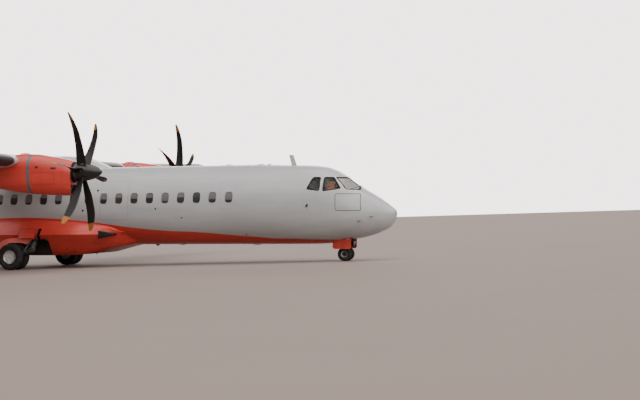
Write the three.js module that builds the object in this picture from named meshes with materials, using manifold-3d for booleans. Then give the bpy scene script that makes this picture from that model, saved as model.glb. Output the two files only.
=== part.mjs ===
// Twin-turboprop regional airliner with a high wing and a T-tail, parked on its landing gear.
// Millimetres. Outer axes: X forward, Y to port, Z up, origin on the ground under the middle of the outline.
// Airframe axes: levelled with the cabin floor. A station is a distance aft of the nose tip, so X is minus
// the station, and a height is taken above the ground under the main wheels.
import * as THREE from "three";
import { mergeVertices } from "three/addons/utils/BufferGeometryUtils.js";
import Module from "manifold-3d";

const wasm = await Module();
wasm.setup();

// Whole aircraft
const HALF_SPAN = 13525;
const OUTLINE_SHIFT = 13549; // from the nose tip to the middle of the outline, along the ground
const GROUND_PITCH = THREE.MathUtils.degToRad(1.24); // nose down on its gear
const JOINT_GAP = 1; // between neighbouring fixed pieces
const SKIN_GAP = 0.6; // between a piece and the skin that it sits on
const MOVING_GAP = 8; // round a control surface
const SURFACE_REACH = 2400; // past the trailing edge of any hinged surface
const DOOR_GAP = 7;

// Landing gear
const NOSE_GEAR_STATION = 1689;
const MAIN_GEAR_STATION = NOSE_GEAR_STATION + 10770;
const MAIN_TYRE = { radius: 432, width: 254, halfSpacing: 215, track: 2050 };
const NOSE_TYRE = { radius: 225, width: 190, halfSpacing: 200, track: 0 };

// Cabin body. Columns: station, half width, top, bottom, height of the widest line, squareness of the top
const BODY_TABLE = [
  [0, 12, 1774, 1750, 1762, 2],
  [60, 215, 1895, 1520, 1745, 2],
  [180, 370, 1992, 1355, 1740, 2],
  [400, 570, 2158, 1215, 1740, 2.1],
  [800, 800, 2412, 1060, 1740, 2.2],
  [1250, 985, 2677, 955, 1760, 2.3],
  [1600, 1090, 2935, 910, 1790, 2.4],
  [1950, 1175, 3157, 843, 1830, 2.4],
  [2300, 1245, 3275, 795, 1870, 2.35],
  [2800, 1320, 3332, 783, 1910, 2.25],
  [3600, 1400, 3356, 781, 1945, 2.08],
  [4800, 1432.5, 3389.5, 781, 1957, 2],
  [18300, 1432.5, 3389.5, 781, 1957, 2],
  [19600, 1385, 3389, 900, 1990, 2],
  [21200, 1210, 3380, 1255, 2110, 2],
  [23000, 880, 3345, 1760, 2350, 2],
  [24600, 510, 3280, 2260, 2620, 2],
  [25900, 150, 3190, 2760, 2950, 2],
];
const BELLY_SQUARENESS = 2.15;
const BODY_POINTS = 28;
const BODY_CUTS = { radome: 520, nose: 3100, forward: 7200, centre: 17200, rear: 22400, tail: 25900 };

// Wing. Heights are of the leading edge.
const WING = {
  leading: 10950,
  chord: 2570,
  tipChord: 1590,
  height: 3475,
  kink: 4600,
  sweep: 0.0612,
  dihedral: 0.0437,
  thickness: 0.18,
  tipThickness: 0.13,
  incidence: THREE.MathUtils.degToRad(2),
};
const TAILPLANE = { leading: 25010, chord: 2150, tipChord: 1300, height: 6670, halfSpan: 3655, sweep: 0.262 };
const FIN_TABLE = [
  // height, leading edge station, trailing edge station, thickness share of the chord
  [3000, 18330, 25675, 0.035],
  [3420, 18790, 25815, 0.035],
  [3660, 19970, 25890, 0.04],
  [3880, 21050, 25955, 0.05],
  [4180, 21955, 26065, 0.065],
  [4740, 22765, 26265, 0.085],
  [5270, 23530, 26450, 0.1],
  [5790, 24130, 26630, 0.11],
  [6640, 24620, 26910, 0.11],
  [7080, 24955, 27055, 0.1],
  [7300, 25225, 27135, 0.08],
  [7340, 25425, 27130, 0.04],
];

// Nacelles and propellers
const NACELLE_Y = 4050;
const HUB = { station: 9000, height: 3110, radius: 1965 };
const PARKED_AZIMUTH = { left: 1.37, right: -22.78 }; // of the first blade, degrees from straight up to port
const NACELLE_TABLE = [
  // station, half width, top, bottom
  [9280, 360, 3450, 2400],
  [9500, 430, 3520, 2397],
  [10000, 500, 3612, 2415],
  [10500, 530, 3690, 2450],
  [11000, 540, 3706, 2500],
  [11300, 540, 3665, 2545],
  [11840, 530, 3560, 2638],
  [12500, 490, 3500, 2770],
  [13200, 385, 3420, 2940],
  [13800, 230, 3385, 3090],
  [14150, 90, 3350, 3220],
];
const NACELLE_SQUARENESS = 2.7;
const FIREWALL = 11300;

// Landing gear fairing. Columns: station, half width at the crease, crease height, top, bottom, half width
// of the floor
const GEAR_FAIRING_TABLE = [
  [8850, 1060, 1150, 1175, 800, 700],
  [9150, 1270, 1150, 1330, 745, 900],
  [9600, 1520, 1150, 1470, 650, 1050],
  [10400, 1780, 1150, 1590, 480, 1250],
  [11200, 1900, 1150, 1650, 455, 1380],
  [12000, 1940, 1150, 1700, 452, 1420],
  [13400, 1940, 1150, 1700, 452, 1420],
  [14600, 1840, 1150, 1640, 470, 1300],
  [15700, 1560, 1150, 1500, 590, 1050],
  [16600, 1200, 1150, 1290, 740, 800],
  [17000, 1030, 1150, 1170, 810, 650],
];

// Smooth curve through a table's rows: cubic pieces whose slopes never overshoot the rows.
function curveThrough(table) {
  const rows = table.length;
  const columns = table[0].length;
  const slopes = table.map(() => new Array(columns).fill(0));
  for (let c = 1; c < columns; c++) {
    for (let k = 1; k < rows - 1; k++) {
      const before = table[k][0] - table[k - 1][0];
      const after = table[k + 1][0] - table[k][0];
      const rise = (table[k][c] - table[k - 1][c]) / before;
      const next = (table[k + 1][c] - table[k][c]) / after;
      const weight = 2 * after + before;
      const other = after + 2 * before;
      slopes[k][c] = rise * next <= 0 ? 0 : (weight + other) / (weight / rise + other / next);
    }
    slopes[0][c] = (table[1][c] - table[0][c]) / (table[1][0] - table[0][0]);
    const last = rows - 1;
    slopes[last][c] = (table[last][c] - table[last - 1][c]) / (table[last][0] - table[last - 1][0]);
  }
  return (at) => {
    let k = 0;
    while (k < rows - 2 && at > table[k + 1][0]) k++;
    const width = table[k + 1][0] - table[k][0];
    const t = (at - table[k][0]) / width;
    return table[k].slice(1).map((value, i) => {
      const c = i + 1;
      const end = table[k + 1][c];
      const a = slopes[k][c] * width;
      const b = slopes[k + 1][c] * width;
      return value + t * (a + t * (3 * (end - value) - 2 * a - b + t * (2 * (value - end) + a + b)));
    });
  };
}

const bodyAt = curveThrough(BODY_TABLE);
const nacelleAt = curveThrough(NACELLE_TABLE);
const gearFairingAt = curveThrough(GEAR_FAIRING_TABLE);
const finAt = curveThrough(FIN_TABLE);

// A point of the airframe from its station, its distance to port and its height.
function at(station, y, z) {
  return new THREE.Vector3(-station, y, z);
}

function signedPower(value, power) {
  return Math.sign(value) * Math.abs(value) ** power;
}

// Signed area of a flat outline given as [a, b] pairs.
function outlineArea(points) {
  return points.reduce((sum, [a, b], i) => {
    const [c, d] = points[(i + 1) % points.length];
    return sum + (a * d - b * c) / 2;
  }, 0);
}

// Triangles that close a ring of points, wound the way the ring runs.
function capFaces(ring) {
  const box = new THREE.Box3().setFromPoints(ring);
  const size = box.getSize(new THREE.Vector3());
  const axes = ["x", "y", "z"].sort((a, b) => size[b] - size[a]).slice(0, 2);
  const flat = ring.map((p) => [p[axes[0]], p[axes[1]]]);
  const way = Math.sign(outlineArea(flat));
  const outline = flat.map(([a, b]) => new THREE.Vector2(a, b));
  return THREE.ShapeUtils.triangulateShape(outline, []).map((face) => {
    const turned = Math.sign(outlineArea(face.map((i) => flat[i]))) !== way;
    return turned ? [face[0], face[2], face[1]] : face;
  });
}

// Closed skin through rings of equally many points, with flat ends.
function loft(rings) {
  const n = rings[0].length;
  const last = (rings.length - 1) * n;
  const faces = [];
  for (let k = 0; k < rings.length - 1; k++) {
    for (let i = 0; i < n; i++) {
      const a = k * n + i;
      const b = k * n + ((i + 1) % n);
      faces.push([a, b, b + n], [a, b + n, a + n]);
    }
  }
  for (const [a, b, c] of capFaces(rings[0])) faces.push([a, c, b]);
  for (const [a, b, c] of capFaces(rings.at(-1))) faces.push([last + a, last + b, last + c]);
  const points = rings.flat();
  const volume = faces.reduce((sum, [a, b, c]) => {
    return sum + points[a].dot(points[b].clone().cross(points[c]));
  }, 0);
  const index = faces.flatMap(([a, b, c]) => (volume < 0 ? [a, c, b] : [a, b, c]));
  const positions = points.flatMap((p) => [p.x, p.y, p.z]);
  const geometry = new THREE.BufferGeometry();
  geometry.setAttribute("position", new THREE.Float32BufferAttribute(positions, 3));
  geometry.setIndex(index);
  return geometry;
}

// Solid of a closed geometry, for joining and cutting.
function solid(geometry) {
  const bare = geometry.clone();
  bare.deleteAttribute("normal");
  bare.deleteAttribute("uv");
  const merged = mergeVertices(bare, 1e-3);
  return new wasm.Manifold(
    new wasm.Mesh({
      numProp: 3,
      vertProperties: new Float32Array(merged.attributes.position.array),
      triVerts: new Uint32Array(merged.index.array),
    }),
  );
}

function join(...solids) {
  return solids.reduce((sum, next) => sum.add(next));
}

function geometryOf(made) {
  const mesh = made.getMesh();
  const geometry = new THREE.BufferGeometry();
  geometry.setAttribute("position", new THREE.BufferAttribute(mesh.vertProperties, 3));
  geometry.setIndex(new THREE.BufferAttribute(mesh.triVerts, 1));
  geometry.computeVertexNormals();
  return geometry;
}

function moved(geometry, x, y, z) {
  return geometry.translate(x, y, z);
}

// Block between two stations, two distances to port and two heights.
function block(stations, ys, zs) {
  const size = (pair) => Math.abs(pair[1] - pair[0]);
  const mid = (pair) => (pair[0] + pair[1]) / 2;
  const box = new THREE.BoxGeometry(size(stations), size(ys), size(zs));
  return solid(moved(box, -mid(stations), mid(ys), mid(zs)));
}

// Round bar between two points; the second radius is at its far end.
function bar(from, to, radius, farRadius = radius, sides = 10) {
  const along = to.clone().sub(from);
  const geometry = new THREE.CylinderGeometry(farRadius, radius, along.length(), sides);
  const turn = new THREE.Quaternion().setFromUnitVectors(
    new THREE.Vector3(0, 1, 0),
    along.clone().normalize(),
  );
  geometry.applyQuaternion(turn);
  const middle = from.clone().add(to).multiplyScalar(0.5);
  return solid(moved(geometry, middle.x, middle.y, middle.z));
}

// Flat outline of [station, height] pairs, pushed from one distance to port to another.
function sidePrism(outline, ys) {
  const shape = new THREE.Shape(outline.map(([s, z]) => new THREE.Vector2(-s, z)));
  const depth = Math.abs(ys[1] - ys[0]);
  const geometry = new THREE.ExtrudeGeometry(shape, { depth, bevelEnabled: false, curveSegments: 8 });
  geometry.rotateX(Math.PI / 2);
  return solid(moved(geometry, 0, Math.max(...ys), 0));
}

// Flat outline of [y, height] pairs, pushed along the aircraft between two stations.
function frontPrism(outline, stations) {
  const shape = new THREE.Shape(outline.map(([y, z]) => new THREE.Vector2(y, z)));
  const depth = Math.abs(stations[1] - stations[0]);
  const geometry = new THREE.ExtrudeGeometry(shape, { depth, bevelEnabled: false });
  geometry.rotateX(Math.PI / 2);
  geometry.rotateZ(Math.PI / 2);
  return solid(moved(geometry, -Math.max(...stations), 0, 0));
}

// Cabin body ring at a station: two half super-ellipses, pulled in by an inset.
function bodyRing(station, inset = 0, place = station) {
  const [halfWidth, top, bottom, widest, squareness] = bodyAt(station);
  const ring = [];
  for (let i = 0; i < BODY_POINTS; i++) {
    const angle = (i / BODY_POINTS) * 2 * Math.PI;
    const upper = Math.sin(angle) >= 0;
    const power = 2 / (upper ? squareness : BELLY_SQUARENESS);
    const rise = upper ? top - inset - widest : widest - bottom - inset;
    const y = (halfWidth - inset) * signedPower(Math.cos(angle), power);
    ring.push(at(place, y, widest + rise * signedPower(Math.sin(angle), power)));
  }
  return ring;
}

const BODY_STATIONS = [
  ...new Set([
    ...BODY_TABLE.map((row) => row[0]),
    ...Object.values(BODY_CUTS),
    1100,
    1420,
    1780,
    2120,
    2550,
    20400,
    22000,
    23800,
  ]),
].sort((a, b) => a - b);

function bodyPiece(from, to, inset = 0) {
  const stations = BODY_STATIONS.filter((s) => s >= from && s <= to);
  return solid(
    loft(
      stations.map((s) => {
        const shift = s === from && from > 0 ? JOINT_GAP / 2 : s === to ? -JOINT_GAP / 2 : 0;
        return bodyRing(s, inset, s + shift);
      }),
    ),
  );
}

// Lifting section as [share of the chord, height share] pairs, from the trailing edge over the top and back.
function foil(thickness, camber, points = 9) {
  const blunt = (x) =>
    0.2969 * Math.sqrt(x) - 0.126 * x - 0.3516 * x ** 2 + 0.2843 * x ** 3 - 0.1015 * x ** 4;
  const half = (x) => 5 * thickness * blunt(x) + 0.001 * x;
  const line = (x) => 4 * camber * x * (1 - x);
  const xs = Array.from({ length: points }, (_, i) => (1 - Math.cos((Math.PI * i) / (points - 1))) / 2);
  const upper = [...xs].reverse().map((x) => [x, line(x) + half(x)]);
  const lower = xs.slice(1).map((x) => [x, line(x) - half(x)]);
  return [...upper, ...lower];
}

// Moves a flat outline's points outwards along their edges' normals.
function grown(outline, distance) {
  const way = Math.sign(outlineArea(outline));
  return outline.map(([a, b], i) => {
    const [pa, pb] = outline[(i + outline.length - 1) % outline.length];
    const [na, nb] = outline[(i + 1) % outline.length];
    const before = new THREE.Vector2(b - pb, pa - a).normalize();
    const after = new THREE.Vector2(nb - b, a - na).normalize();
    const normal = before.add(after);
    const scale = (distance * way * 2) / Math.max(normal.lengthSq(), 1);
    return [a + normal.x * scale, b + normal.y * scale];
  });
}

// Ring of the wing at a distance to port.
function wingRing(y, growth = 0, shrink = 1) {
  const out = Math.max(Math.abs(y) - WING.kink, 0);
  const share = out / (HALF_SPAN - WING.kink);
  const chord = THREE.MathUtils.lerp(WING.chord, WING.tipChord, share);
  const thickness = THREE.MathUtils.lerp(WING.thickness, WING.tipThickness, share);
  const leading = WING.leading + out * WING.sweep;
  const height = WING.height + out * WING.dihedral;
  const tilt = Math.tan(WING.incidence);
  const outline = foil(thickness, 0.02).map(([x, z]) => {
    const pulled = 0.4 + (x - 0.4) * shrink;
    return [leading + pulled * chord, height + z * shrink * chord - pulled * chord * tilt];
  });
  return grown(outline, growth).map(([s, z]) => at(s, y, z));
}

function tailplaneRing(y, growth = 0, shrink = 1) {
  const share = Math.abs(y) / TAILPLANE.halfSpan;
  const chord = THREE.MathUtils.lerp(TAILPLANE.chord, TAILPLANE.tipChord, share);
  const leading = TAILPLANE.leading + Math.abs(y) * TAILPLANE.sweep;
  const outline = foil(0.115, 0).map(([x, z]) => {
    const pulled = 0.4 + (x - 0.4) * shrink;
    return [leading + pulled * chord, TAILPLANE.height + z * shrink * chord];
  });
  return grown(outline, growth).map(([s, z]) => at(s, y, z));
}

function finRing(height) {
  const [leading, trailing, thickness] = finAt(height);
  return foil(thickness, 0, 7).map(([x, half]) => {
    const chord = trailing - leading;
    return at(leading + x * chord, half * chord, height);
  });
}

// Space of a hinged surface: a round nose about its hinge line, open aft.
function surfaceSpace(from, to, radius, endGap, growth = 0) {
  const along = to.clone().sub(from).normalize();
  const aft = new THREE.Vector3(-1, 0, 0).addScaledVector(along, along.x).normalize();
  const up = along.clone().cross(aft);
  const nose = radius + growth;
  const shape = new THREE.Shape();
  shape.absarc(0, 0, nose, Math.PI / 2, (3 * Math.PI) / 2, false);
  shape.lineTo(SURFACE_REACH, -nose);
  shape.lineTo(SURFACE_REACH, nose);
  const depth = from.distanceTo(to) - 2 * (endGap - growth);
  const geometry = new THREE.ExtrudeGeometry(shape, { depth, bevelEnabled: false, curveSegments: 6 });
  const start = from.clone().addScaledVector(along, endGap - growth);
  geometry.applyMatrix4(new THREE.Matrix4().makeBasis(aft, up, along).setPosition(start));
  return solid(geometry);
}

// Splits a hinged surface off its wing or fin: an arm with its pin at each hinge, in a slot that flares by
// the surface's swing.
function hingedSurface(whole, from, to, radius, hinges, swing) {
  const along = to.clone().sub(from).normalize();
  const length = from.distanceTo(to);
  let surface = whole.intersect(surfaceSpace(from, to, radius, MOVING_GAP));
  let fixed = whole.subtract(surfaceSpace(from, to, radius, MOVING_GAP, MOVING_GAP));
  for (const share of hinges) {
    const centre = from.clone().addScaledVector(along, share * length);
    const side = (distance) => centre.clone().addScaledVector(along, distance);
    const ahead = centre.clone().add(new THREE.Vector3(radius + MOVING_GAP + 30, 0, 0));
    const arm = plateAlong(centre, ahead, along, 24, 16, 0);
    const slot = plateAlong(centre, ahead, along, 24 + MOVING_GAP, 16 + 2 * MOVING_GAP, swing);
    surface = surface.subtract(slot).subtract(bar(side(-60), side(60), 13, 13, 8));
    fixed = fixed.add(arm).add(bar(side(-45), side(45), 11, 11, 8));
  }
  return { surface, fixed };
}

// Upright plate with a round end at one point, reaching to another. Its edges open out by a flare angle.
function plateAlong(centre, ahead, along, halfHeight, thickness, flare) {
  const reach = ahead.clone().sub(centre);
  const forward = reach.clone().addScaledVector(along, -reach.dot(along)).normalize();
  const up = along.clone().cross(forward);
  const shape = new THREE.Shape();
  shape.absarc(0, 0, halfHeight, Math.PI / 2 + flare, (3 * Math.PI) / 2 - flare, false);
  const mouth = halfHeight / Math.cos(flare) + reach.length() * Math.tan(flare);
  shape.lineTo(reach.length(), -mouth);
  shape.lineTo(reach.length(), mouth);
  const geometry = new THREE.ExtrudeGeometry(shape, {
    depth: thickness,
    bevelEnabled: false,
    curveSegments: 4,
  });
  const start = centre.clone().addScaledVector(along, -thickness / 2);
  geometry.applyMatrix4(new THREE.Matrix4().makeBasis(forward, up, along).setPosition(start));
  return solid(geometry);
}

const paint = (color, roughness = 0.4, metalness = 0.1) =>
  new THREE.MeshStandardMaterial({ color, roughness, metalness });
const GREY_PAINT = paint(0xb4b8ba);
const TAIL_PAINT = paint(0x8f9393);
const RED_PAINT = paint(0xc9392d);
const WING_PAINT = paint(0xb9bcbd);
const BLADE_PAINT = paint(0x2a2927, 0.5);
const TYRE_RUBBER = paint(0x1c1b1a, 0.9, 0);
const GEAR_METAL = paint(0xa9adb0, 0.45, 0.6);
const PANE_GLASS = paint(0x20262a, 0.1, 0);
const ENGINE_METAL = paint(0x6d6f70, 0.5, 0.8);
const SEAT_CLOTH = paint(0xb0713a, 0.8, 0);
const PIPE_METAL = paint(0x6b625a, 0.6, 0.9);

const aircraft = new THREE.Group();
aircraft.name = "turboprop_airliner";
// Ground axes: origin under the main axle line, moved to the middle of the outline.
const gear = new THREE.Group();
gear.position.x = OUTLINE_SHIFT - MAIN_GEAR_STATION;
aircraft.add(gear);
// Airframe axes: pitched about the main axle line.
const pitched = new THREE.Group();
pitched.position.z = MAIN_TYRE.radius;
pitched.rotation.y = GROUND_PITCH;
gear.add(pitched);
const airframe = new THREE.Group();
airframe.position.set(MAIN_GEAR_STATION, 0, -MAIN_TYRE.radius);
pitched.add(airframe);

function put(name, made, material, group = airframe) {
  const geometry = made.isBufferGeometry ? made : geometryOf(made);
  const mesh = new THREE.Mesh(geometry, material);
  mesh.name = name;
  group.add(mesh);
  return mesh;
}

const SIDES = [
  ["left", 1],
  ["right", -1],
];

// Control surfaces and flaps. Distances to port are for the port side.
const FLAP_GAP = 16;
const FLAP_SPANS = { inboard: [1330, 3470], outboard: [4640, 8880] };
const AILERON_SPAN = [8930, 12950];
const AILERON_SWING = THREE.MathUtils.degToRad(14);
const ELEVATOR_SWING = THREE.MathUtils.degToRad(23);
const RUDDER_SWING = THREE.MathUtils.degToRad(27);
const FLAP_CHORD_SHARE = 0.72; // where the flap's nose starts
const AILERON_CHORD_SHARE = 0.74;
const ELEVATOR_SPAN = [230, 3560];
const ELEVATOR_CHORD_SHARE = 0.66;
const FLAP_PIVOT_DROP = 260; // below the wing's middle surface
const FLAP_HINGES = { inboard: [1700, 3100], outboard: [5500, 8100] };

// Middle of the wing's thickness at a share of its chord.
function wingPoint(y, share) {
  const ring = wingRing(y);
  const leading = ring.reduce((best, p) => (p.x > best.x ? p : best));
  const chord = leading.x - Math.min(...ring.map((p) => p.x));
  const x = leading.x - share * chord;
  const crossings = ring
    .map((p, i) => [p, ring[(i + 1) % ring.length]])
    .filter(([p, q]) => (p.x - x) * (q.x - x) < 0)
    .map(([p, q]) => p.z + ((q.z - p.z) * (x - p.x)) / (q.x - p.x));
  const halfThickness = Math.abs(crossings[0] - crossings[1]) / 2;
  return { point: new THREE.Vector3(x, y, (crossings[0] + crossings[1]) / 2), halfThickness };
}

function makeWing() {
  const plain = (from, to) => solid(loft([wingRing(from), wingRing(to)]));
  let centre = plain(-WING.kink, WING.kink);
  for (const [side, way] of SIDES) {
    const kink = way * (WING.kink + JOINT_GAP);
    const tip = way * HALF_SPAN;
    let outer = solid(
      loft([
        wingRing(kink),
        wingRing(way * (HALF_SPAN - 260)),
        wingRing(tip - way * 90, 0, 0.9),
        wingRing(tip, 0, 0.62),
      ]),
    );
    for (const [place, span] of Object.entries(FLAP_SPANS)) {
      const inner = wingPoint(way * span[0], FLAP_CHORD_SHARE);
      const outside = wingPoint(way * span[1], FLAP_CHORD_SHARE);
      const [from, to] = way > 0 ? [inner, outside] : [outside, inner];
      const radius = inner.halfThickness * 1.04;
      const wing = place === "inboard" ? centre : outer;
      let flap = wing.intersect(surfaceSpace(from.point, to.point, radius, FLAP_GAP));
      let fixed = wing.subtract(surfaceSpace(from.point, to.point, radius, FLAP_GAP, FLAP_GAP));
      for (const y of FLAP_HINGES[place]) {
        const { arm, bracket } = flapHinge(way * y, from.point, to.point);
        flap = flap.add(arm);
        fixed = fixed.add(bracket);
      }
      if (place === "inboard") centre = fixed;
      else outer = fixed;
      put(`flap_${place}_${side}`, flap, WING_PAINT);
    }
    const inner = wingPoint(way * AILERON_SPAN[0], AILERON_CHORD_SHARE);
    const outside = wingPoint(way * AILERON_SPAN[1], AILERON_CHORD_SHARE);
    const [from, to] = way > 0 ? [inner, outside] : [outside, inner];
    const radius = inner.halfThickness * 1.04;
    const split = hingedSurface(outer, from.point, to.point, radius, [0.2, 0.8], AILERON_SWING);
    put(`wing_outer_${side}`, split.fixed, WING_PAINT);
    put(`aileron_${side}`, split.surface, WING_PAINT);
  }
  put("wing_center", centre, WING_PAINT);
}

// Flap hinge under the wing: a bracket plate on the wing and an arm on the flap, side by side on one pin.
function flapHinge(y, from, to) {
  const along = to.clone().sub(from).normalize();
  const nose = from.clone().addScaledVector(along, (y - from.y) / along.y);
  const pivot = nose.clone().add(new THREE.Vector3(0, 0, -FLAP_PIVOT_DROP));
  const thickness = 26;
  const outline = (points) => points.map(([s, z]) => [-nose.x + s, nose.z + z]);
  const drop = FLAP_PIVOT_DROP;
  const bracketOutline = outline([
    [-640, -90],
    [-185, -90],
    [-175, -172],
    [20, -drop + 78],
    [38, -drop + 10],
    [24, -drop - 26],
    [-60, -drop - 30],
    [-420, -190],
  ]);
  const armOutline = outline([
    [60, 0],
    [420, -20],
    [330, -150],
    [40, -drop - 26],
    [-30, -drop - 20],
    [-30, -drop + 26],
  ]);
  const bracket = sidePrism(bracketOutline, [y - thickness - 4, y - 4]);
  const arm = sidePrism(armOutline, [y + 4, y + 4 + thickness]);
  const pinFrom = pivot.clone().setY(y - thickness);
  const pinTo = pivot.clone().setY(y + thickness + 12);
  return {
    bracket: bracket.add(bar(pinFrom, pinTo, 14)),
    arm: arm.subtract(bar(pinFrom.clone().setY(y - 60), pinTo.clone().setY(y + 60), 16.5)),
  };
}

function makeBody() {
  const skin = bodyPiece(0, BODY_CUTS.tail, -SKIN_GAP);
  put("radome", bodyPiece(0, BODY_CUTS.radome), GREY_PAINT);
  makeNose();
  makeForwardBody();
  const wingSeat = solid(loft([wingRing(-WING.kink, SKIN_GAP), wingRing(WING.kink, SKIN_GAP)]));
  const centre = bodyPiece(BODY_CUTS.forward, BODY_CUTS.centre).subtract(wingSeat);
  put("fuselage_center", centre, GREY_PAINT);
  makeRearBody();
  put("tail_cone", bodyPiece(BODY_CUTS.rear, BODY_CUTS.tail), GREY_PAINT);
  makeRootFairing(skin, wingSeat);
  makeGearFairings(skin);
  makeFin(skin);
  makeNacelles(wingSeat);
}

// Doors: stations, heights, thickness of the panel, how far to port the room behind it reaches, side. The
// edge away from the hinge leans, so that its inner corner clears the frame: its half of the door (1 up,
// -1 down), where the skin crosses it and its rise towards port.
const CARGO_DOOR = {
  stations: [3290, 4565],
  heights: [1140, 2670],
  thickness: 90,
  room: -900,
  way: 1,
  lean: { half: -1, y: 1070, rise: -0.2 },
};
const PASSENGER_DOOR = {
  stations: [19050, 19870],
  heights: [1230, 2980],
  thickness: 90,
  room: -560,
  way: 1,
  lean: { half: 1, y: 995, rise: 0.2 },
};
const SERVICE_DOOR = { stations: [19660, 20270], heights: [1300, 2520], thickness: 80, way: -1 };
const CARGO_HINGE = { from: [3290, 1199, 2674], to: [4565, 1235, 2674], radius: 16 };
const STAIR_HINGE = { y: 1140, height: 1215, eye: 22, pin: 9, stations: [19200, 19720] };

// Distance to port of the skin's lower half at a station and a height.
function lowerSide(station, height) {
  const [halfWidth, , bottom, widest] = bodyAt(station);
  const share = (widest - height) / (widest - bottom);
  return halfWidth * (1 - share ** BELLY_SQUARENESS) ** (1 / BELLY_SQUARENESS);
}

// Panel of the skin, and the block of space that reaches from outside the skin to a distance to port.
function doorParts(door, gap, reach) {
  const shell = bodyPiece(0, BODY_CUTS.tail).subtract(bodyPiece(0, BODY_CUTS.tail, door.thickness));
  const space = (growth, inner) =>
    block(
      [door.stations[0] - growth, door.stations[1] + growth],
      [inner, door.way * 1700],
      [door.heights[0] - growth, door.heights[1] + growth],
    );
  let panel = shell.intersect(space(0, door.way * 500));
  if (door.lean) {
    const { half, y, rise } = door.lean;
    const edge = half > 0 ? door.heights[1] : door.heights[0];
    const far = edge - half * 3000;
    const reachOut = [400, 1700].map((out) => [out, edge + (out - y) * rise]);
    const outline = [...reachOut, [1700, far], [400, far]];
    panel = panel.intersect(frontPrism(outline, [door.stations[0] - 1, door.stations[1] + 1]));
  }
  return { panel, opening: space(gap, reach) };
}

// Hinge of the cargo door: knuckles on one line, the door's between the body's.
function cargoHinge(body, door) {
  const { from, to, radius } = CARGO_HINGE;
  const line = (share) => at(...from).lerp(at(...to), share);
  const length = at(...from).distanceTo(at(...to));
  const clear = 3;
  let fixed = body;
  let moving = door;
  for (const start of [0.12, 0.46, 0.8]) {
    const [a, b, c] = [0, 0.03, 0.06].map((share) => start + share);
    const gap = clear / length;
    const knuckle = (first, last, r) => bar(line(first), line(last), r, r, 12);
    fixed = fixed.subtract(knuckle(b - gap, c + gap, radius + clear)).add(knuckle(a, b - gap, radius));
    moving = moving.subtract(knuckle(a - gap, b, radius + clear)).add(knuckle(b, c, radius));
  }
  return { fixed, moving };
}

// Hinges of the airstair: a bracket on the body and an arm on the door, side by side on a pin below the sill.
function stairHinge(station) {
  const { y, height, eye, pin } = STAIR_HINGE;
  const sill = PASSENGER_DOOR.heights[0];
  const inside = (z, depth) => [lowerSide(station, z) - depth, z];
  const bracket = frontPrism(
    [
      inside(sill - 30, 65),
      [y - 8, height + eye],
      [y + eye, height + 6],
      [y + eye - 6, height - eye + 4],
      [y - 8, height - eye],
      inside(sill - 110, 65),
    ],
    [station - 16, station - 2],
  );
  const arm = frontPrism(
    [
      inside(sill + 130, 50),
      [y + eye - 4, height + 50],
      [y + eye, height],
      [y, height - eye],
      [y - eye, height],
      inside(sill + 45, 50),
    ],
    [station + 2, station + 16],
  );
  const bolt = (from, to, radius) => bar(at(station + from, y, height), at(station + to, y, height), radius);
  return {
    bracket: bracket.add(bolt(-20, 24, pin)),
    arm: arm.subtract(bolt(-10, 40, pin + 2.5)),
  };
}

// Cockpit. Window outlines are seen from the side as [station, height] and from the front as [y, height].
const SIDE_PANES = [
  [
    [2667, 2545],
    [2502, 2924],
    [2261, 2922],
    [2267, 2487],
  ],
  [
    [2158, 2473],
    [2155, 2921],
    [1873, 2920],
    [1621, 2558],
  ],
];
const FRONT_PANE = [
  [60, 2925],
  [686, 2920],
  [829, 2535],
  [473, 2512],
  [60, 2640],
];
const PANE_BAND = { stations: [950, 2850], heights: [2430, 2970] };
const CABIN_WALL = 70;

function makeNose() {
  const whole = bodyPiece(BODY_CUTS.radome, BODY_CUTS.nose);
  const room = bodyPiece(0, BODY_CUTS.forward, CABIN_WALL).intersect(
    block([1150, 3000], [-1300, 1300], [1750, 3100]),
  );
  const band = (growth) =>
    block(
      [PANE_BAND.stations[0] - growth, PANE_BAND.stations[1] + growth],
      [-1500, 1500],
      [PANE_BAND.heights[0] - growth, PANE_BAND.heights[1] + growth],
    );
  const behindPosts = bodyPiece(0, BODY_CUTS.forward, 22).intersect(band(1));
  const glazing = bodyPiece(0, BODY_CUTS.forward, 23)
    .subtract(bodyPiece(0, BODY_CUTS.forward, 38))
    .intersect(band(0));
  let body = whole.subtract(room).subtract(behindPosts);
  for (const way of [1, -1]) {
    for (const pane of SIDE_PANES) body = body.subtract(sidePrism(pane, [way * 500, way * 1500]));
    const pane = FRONT_PANE.map(([y, z]) => [way * y, z]);
    body = body.subtract(frontPrism(pane, [700, 2000]));
  }
  const noseWell = block([1400, 2060], [-420, 420], [400, 1460]);
  put("fuselage_nose", body.subtract(noseWell), GREY_PAINT);
  put("windscreen", glazing, PANE_GLASS);
  put("instrument_panel", block([1300, 1560], [-700, 700], [1751, 2380]), BLADE_PAINT);
  for (const [side, way] of SIDES) put(`pilot_seat_${side}`, pilotSeat(way * 480), SEAT_CLOTH);
}

function pilotSeat(y) {
  const outline = [
    [1680, 1751],
    [2060, 1751],
    [2130, 2200],
    [2210, 2780],
    [1990, 2800],
    [1890, 2330],
    [1680, 2230],
  ];
  return sidePrism(outline, [y - 215, y + 215]);
}

function makeForwardBody() {
  const cargo = doorParts(CARGO_DOOR, DOOR_GAP, CARGO_DOOR.room);
  const body = bodyPiece(BODY_CUTS.nose, BODY_CUTS.forward);
  const hinged = cargoHinge(body.subtract(cargo.opening), cargo.panel);
  put("fuselage_forward", hinged.fixed.add(radioAerial()), GREY_PAINT);
  put("cargo_door", hinged.moving, GREY_PAINT);
}

// Blade aerial on the roof, swept aft.
function radioAerial() {
  const outline = [
    [3310, 3320],
    [3430, 3690],
    [3580, 3690],
    [3490, 3320],
  ];
  return sidePrism(outline, [-11, 11]);
}

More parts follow.
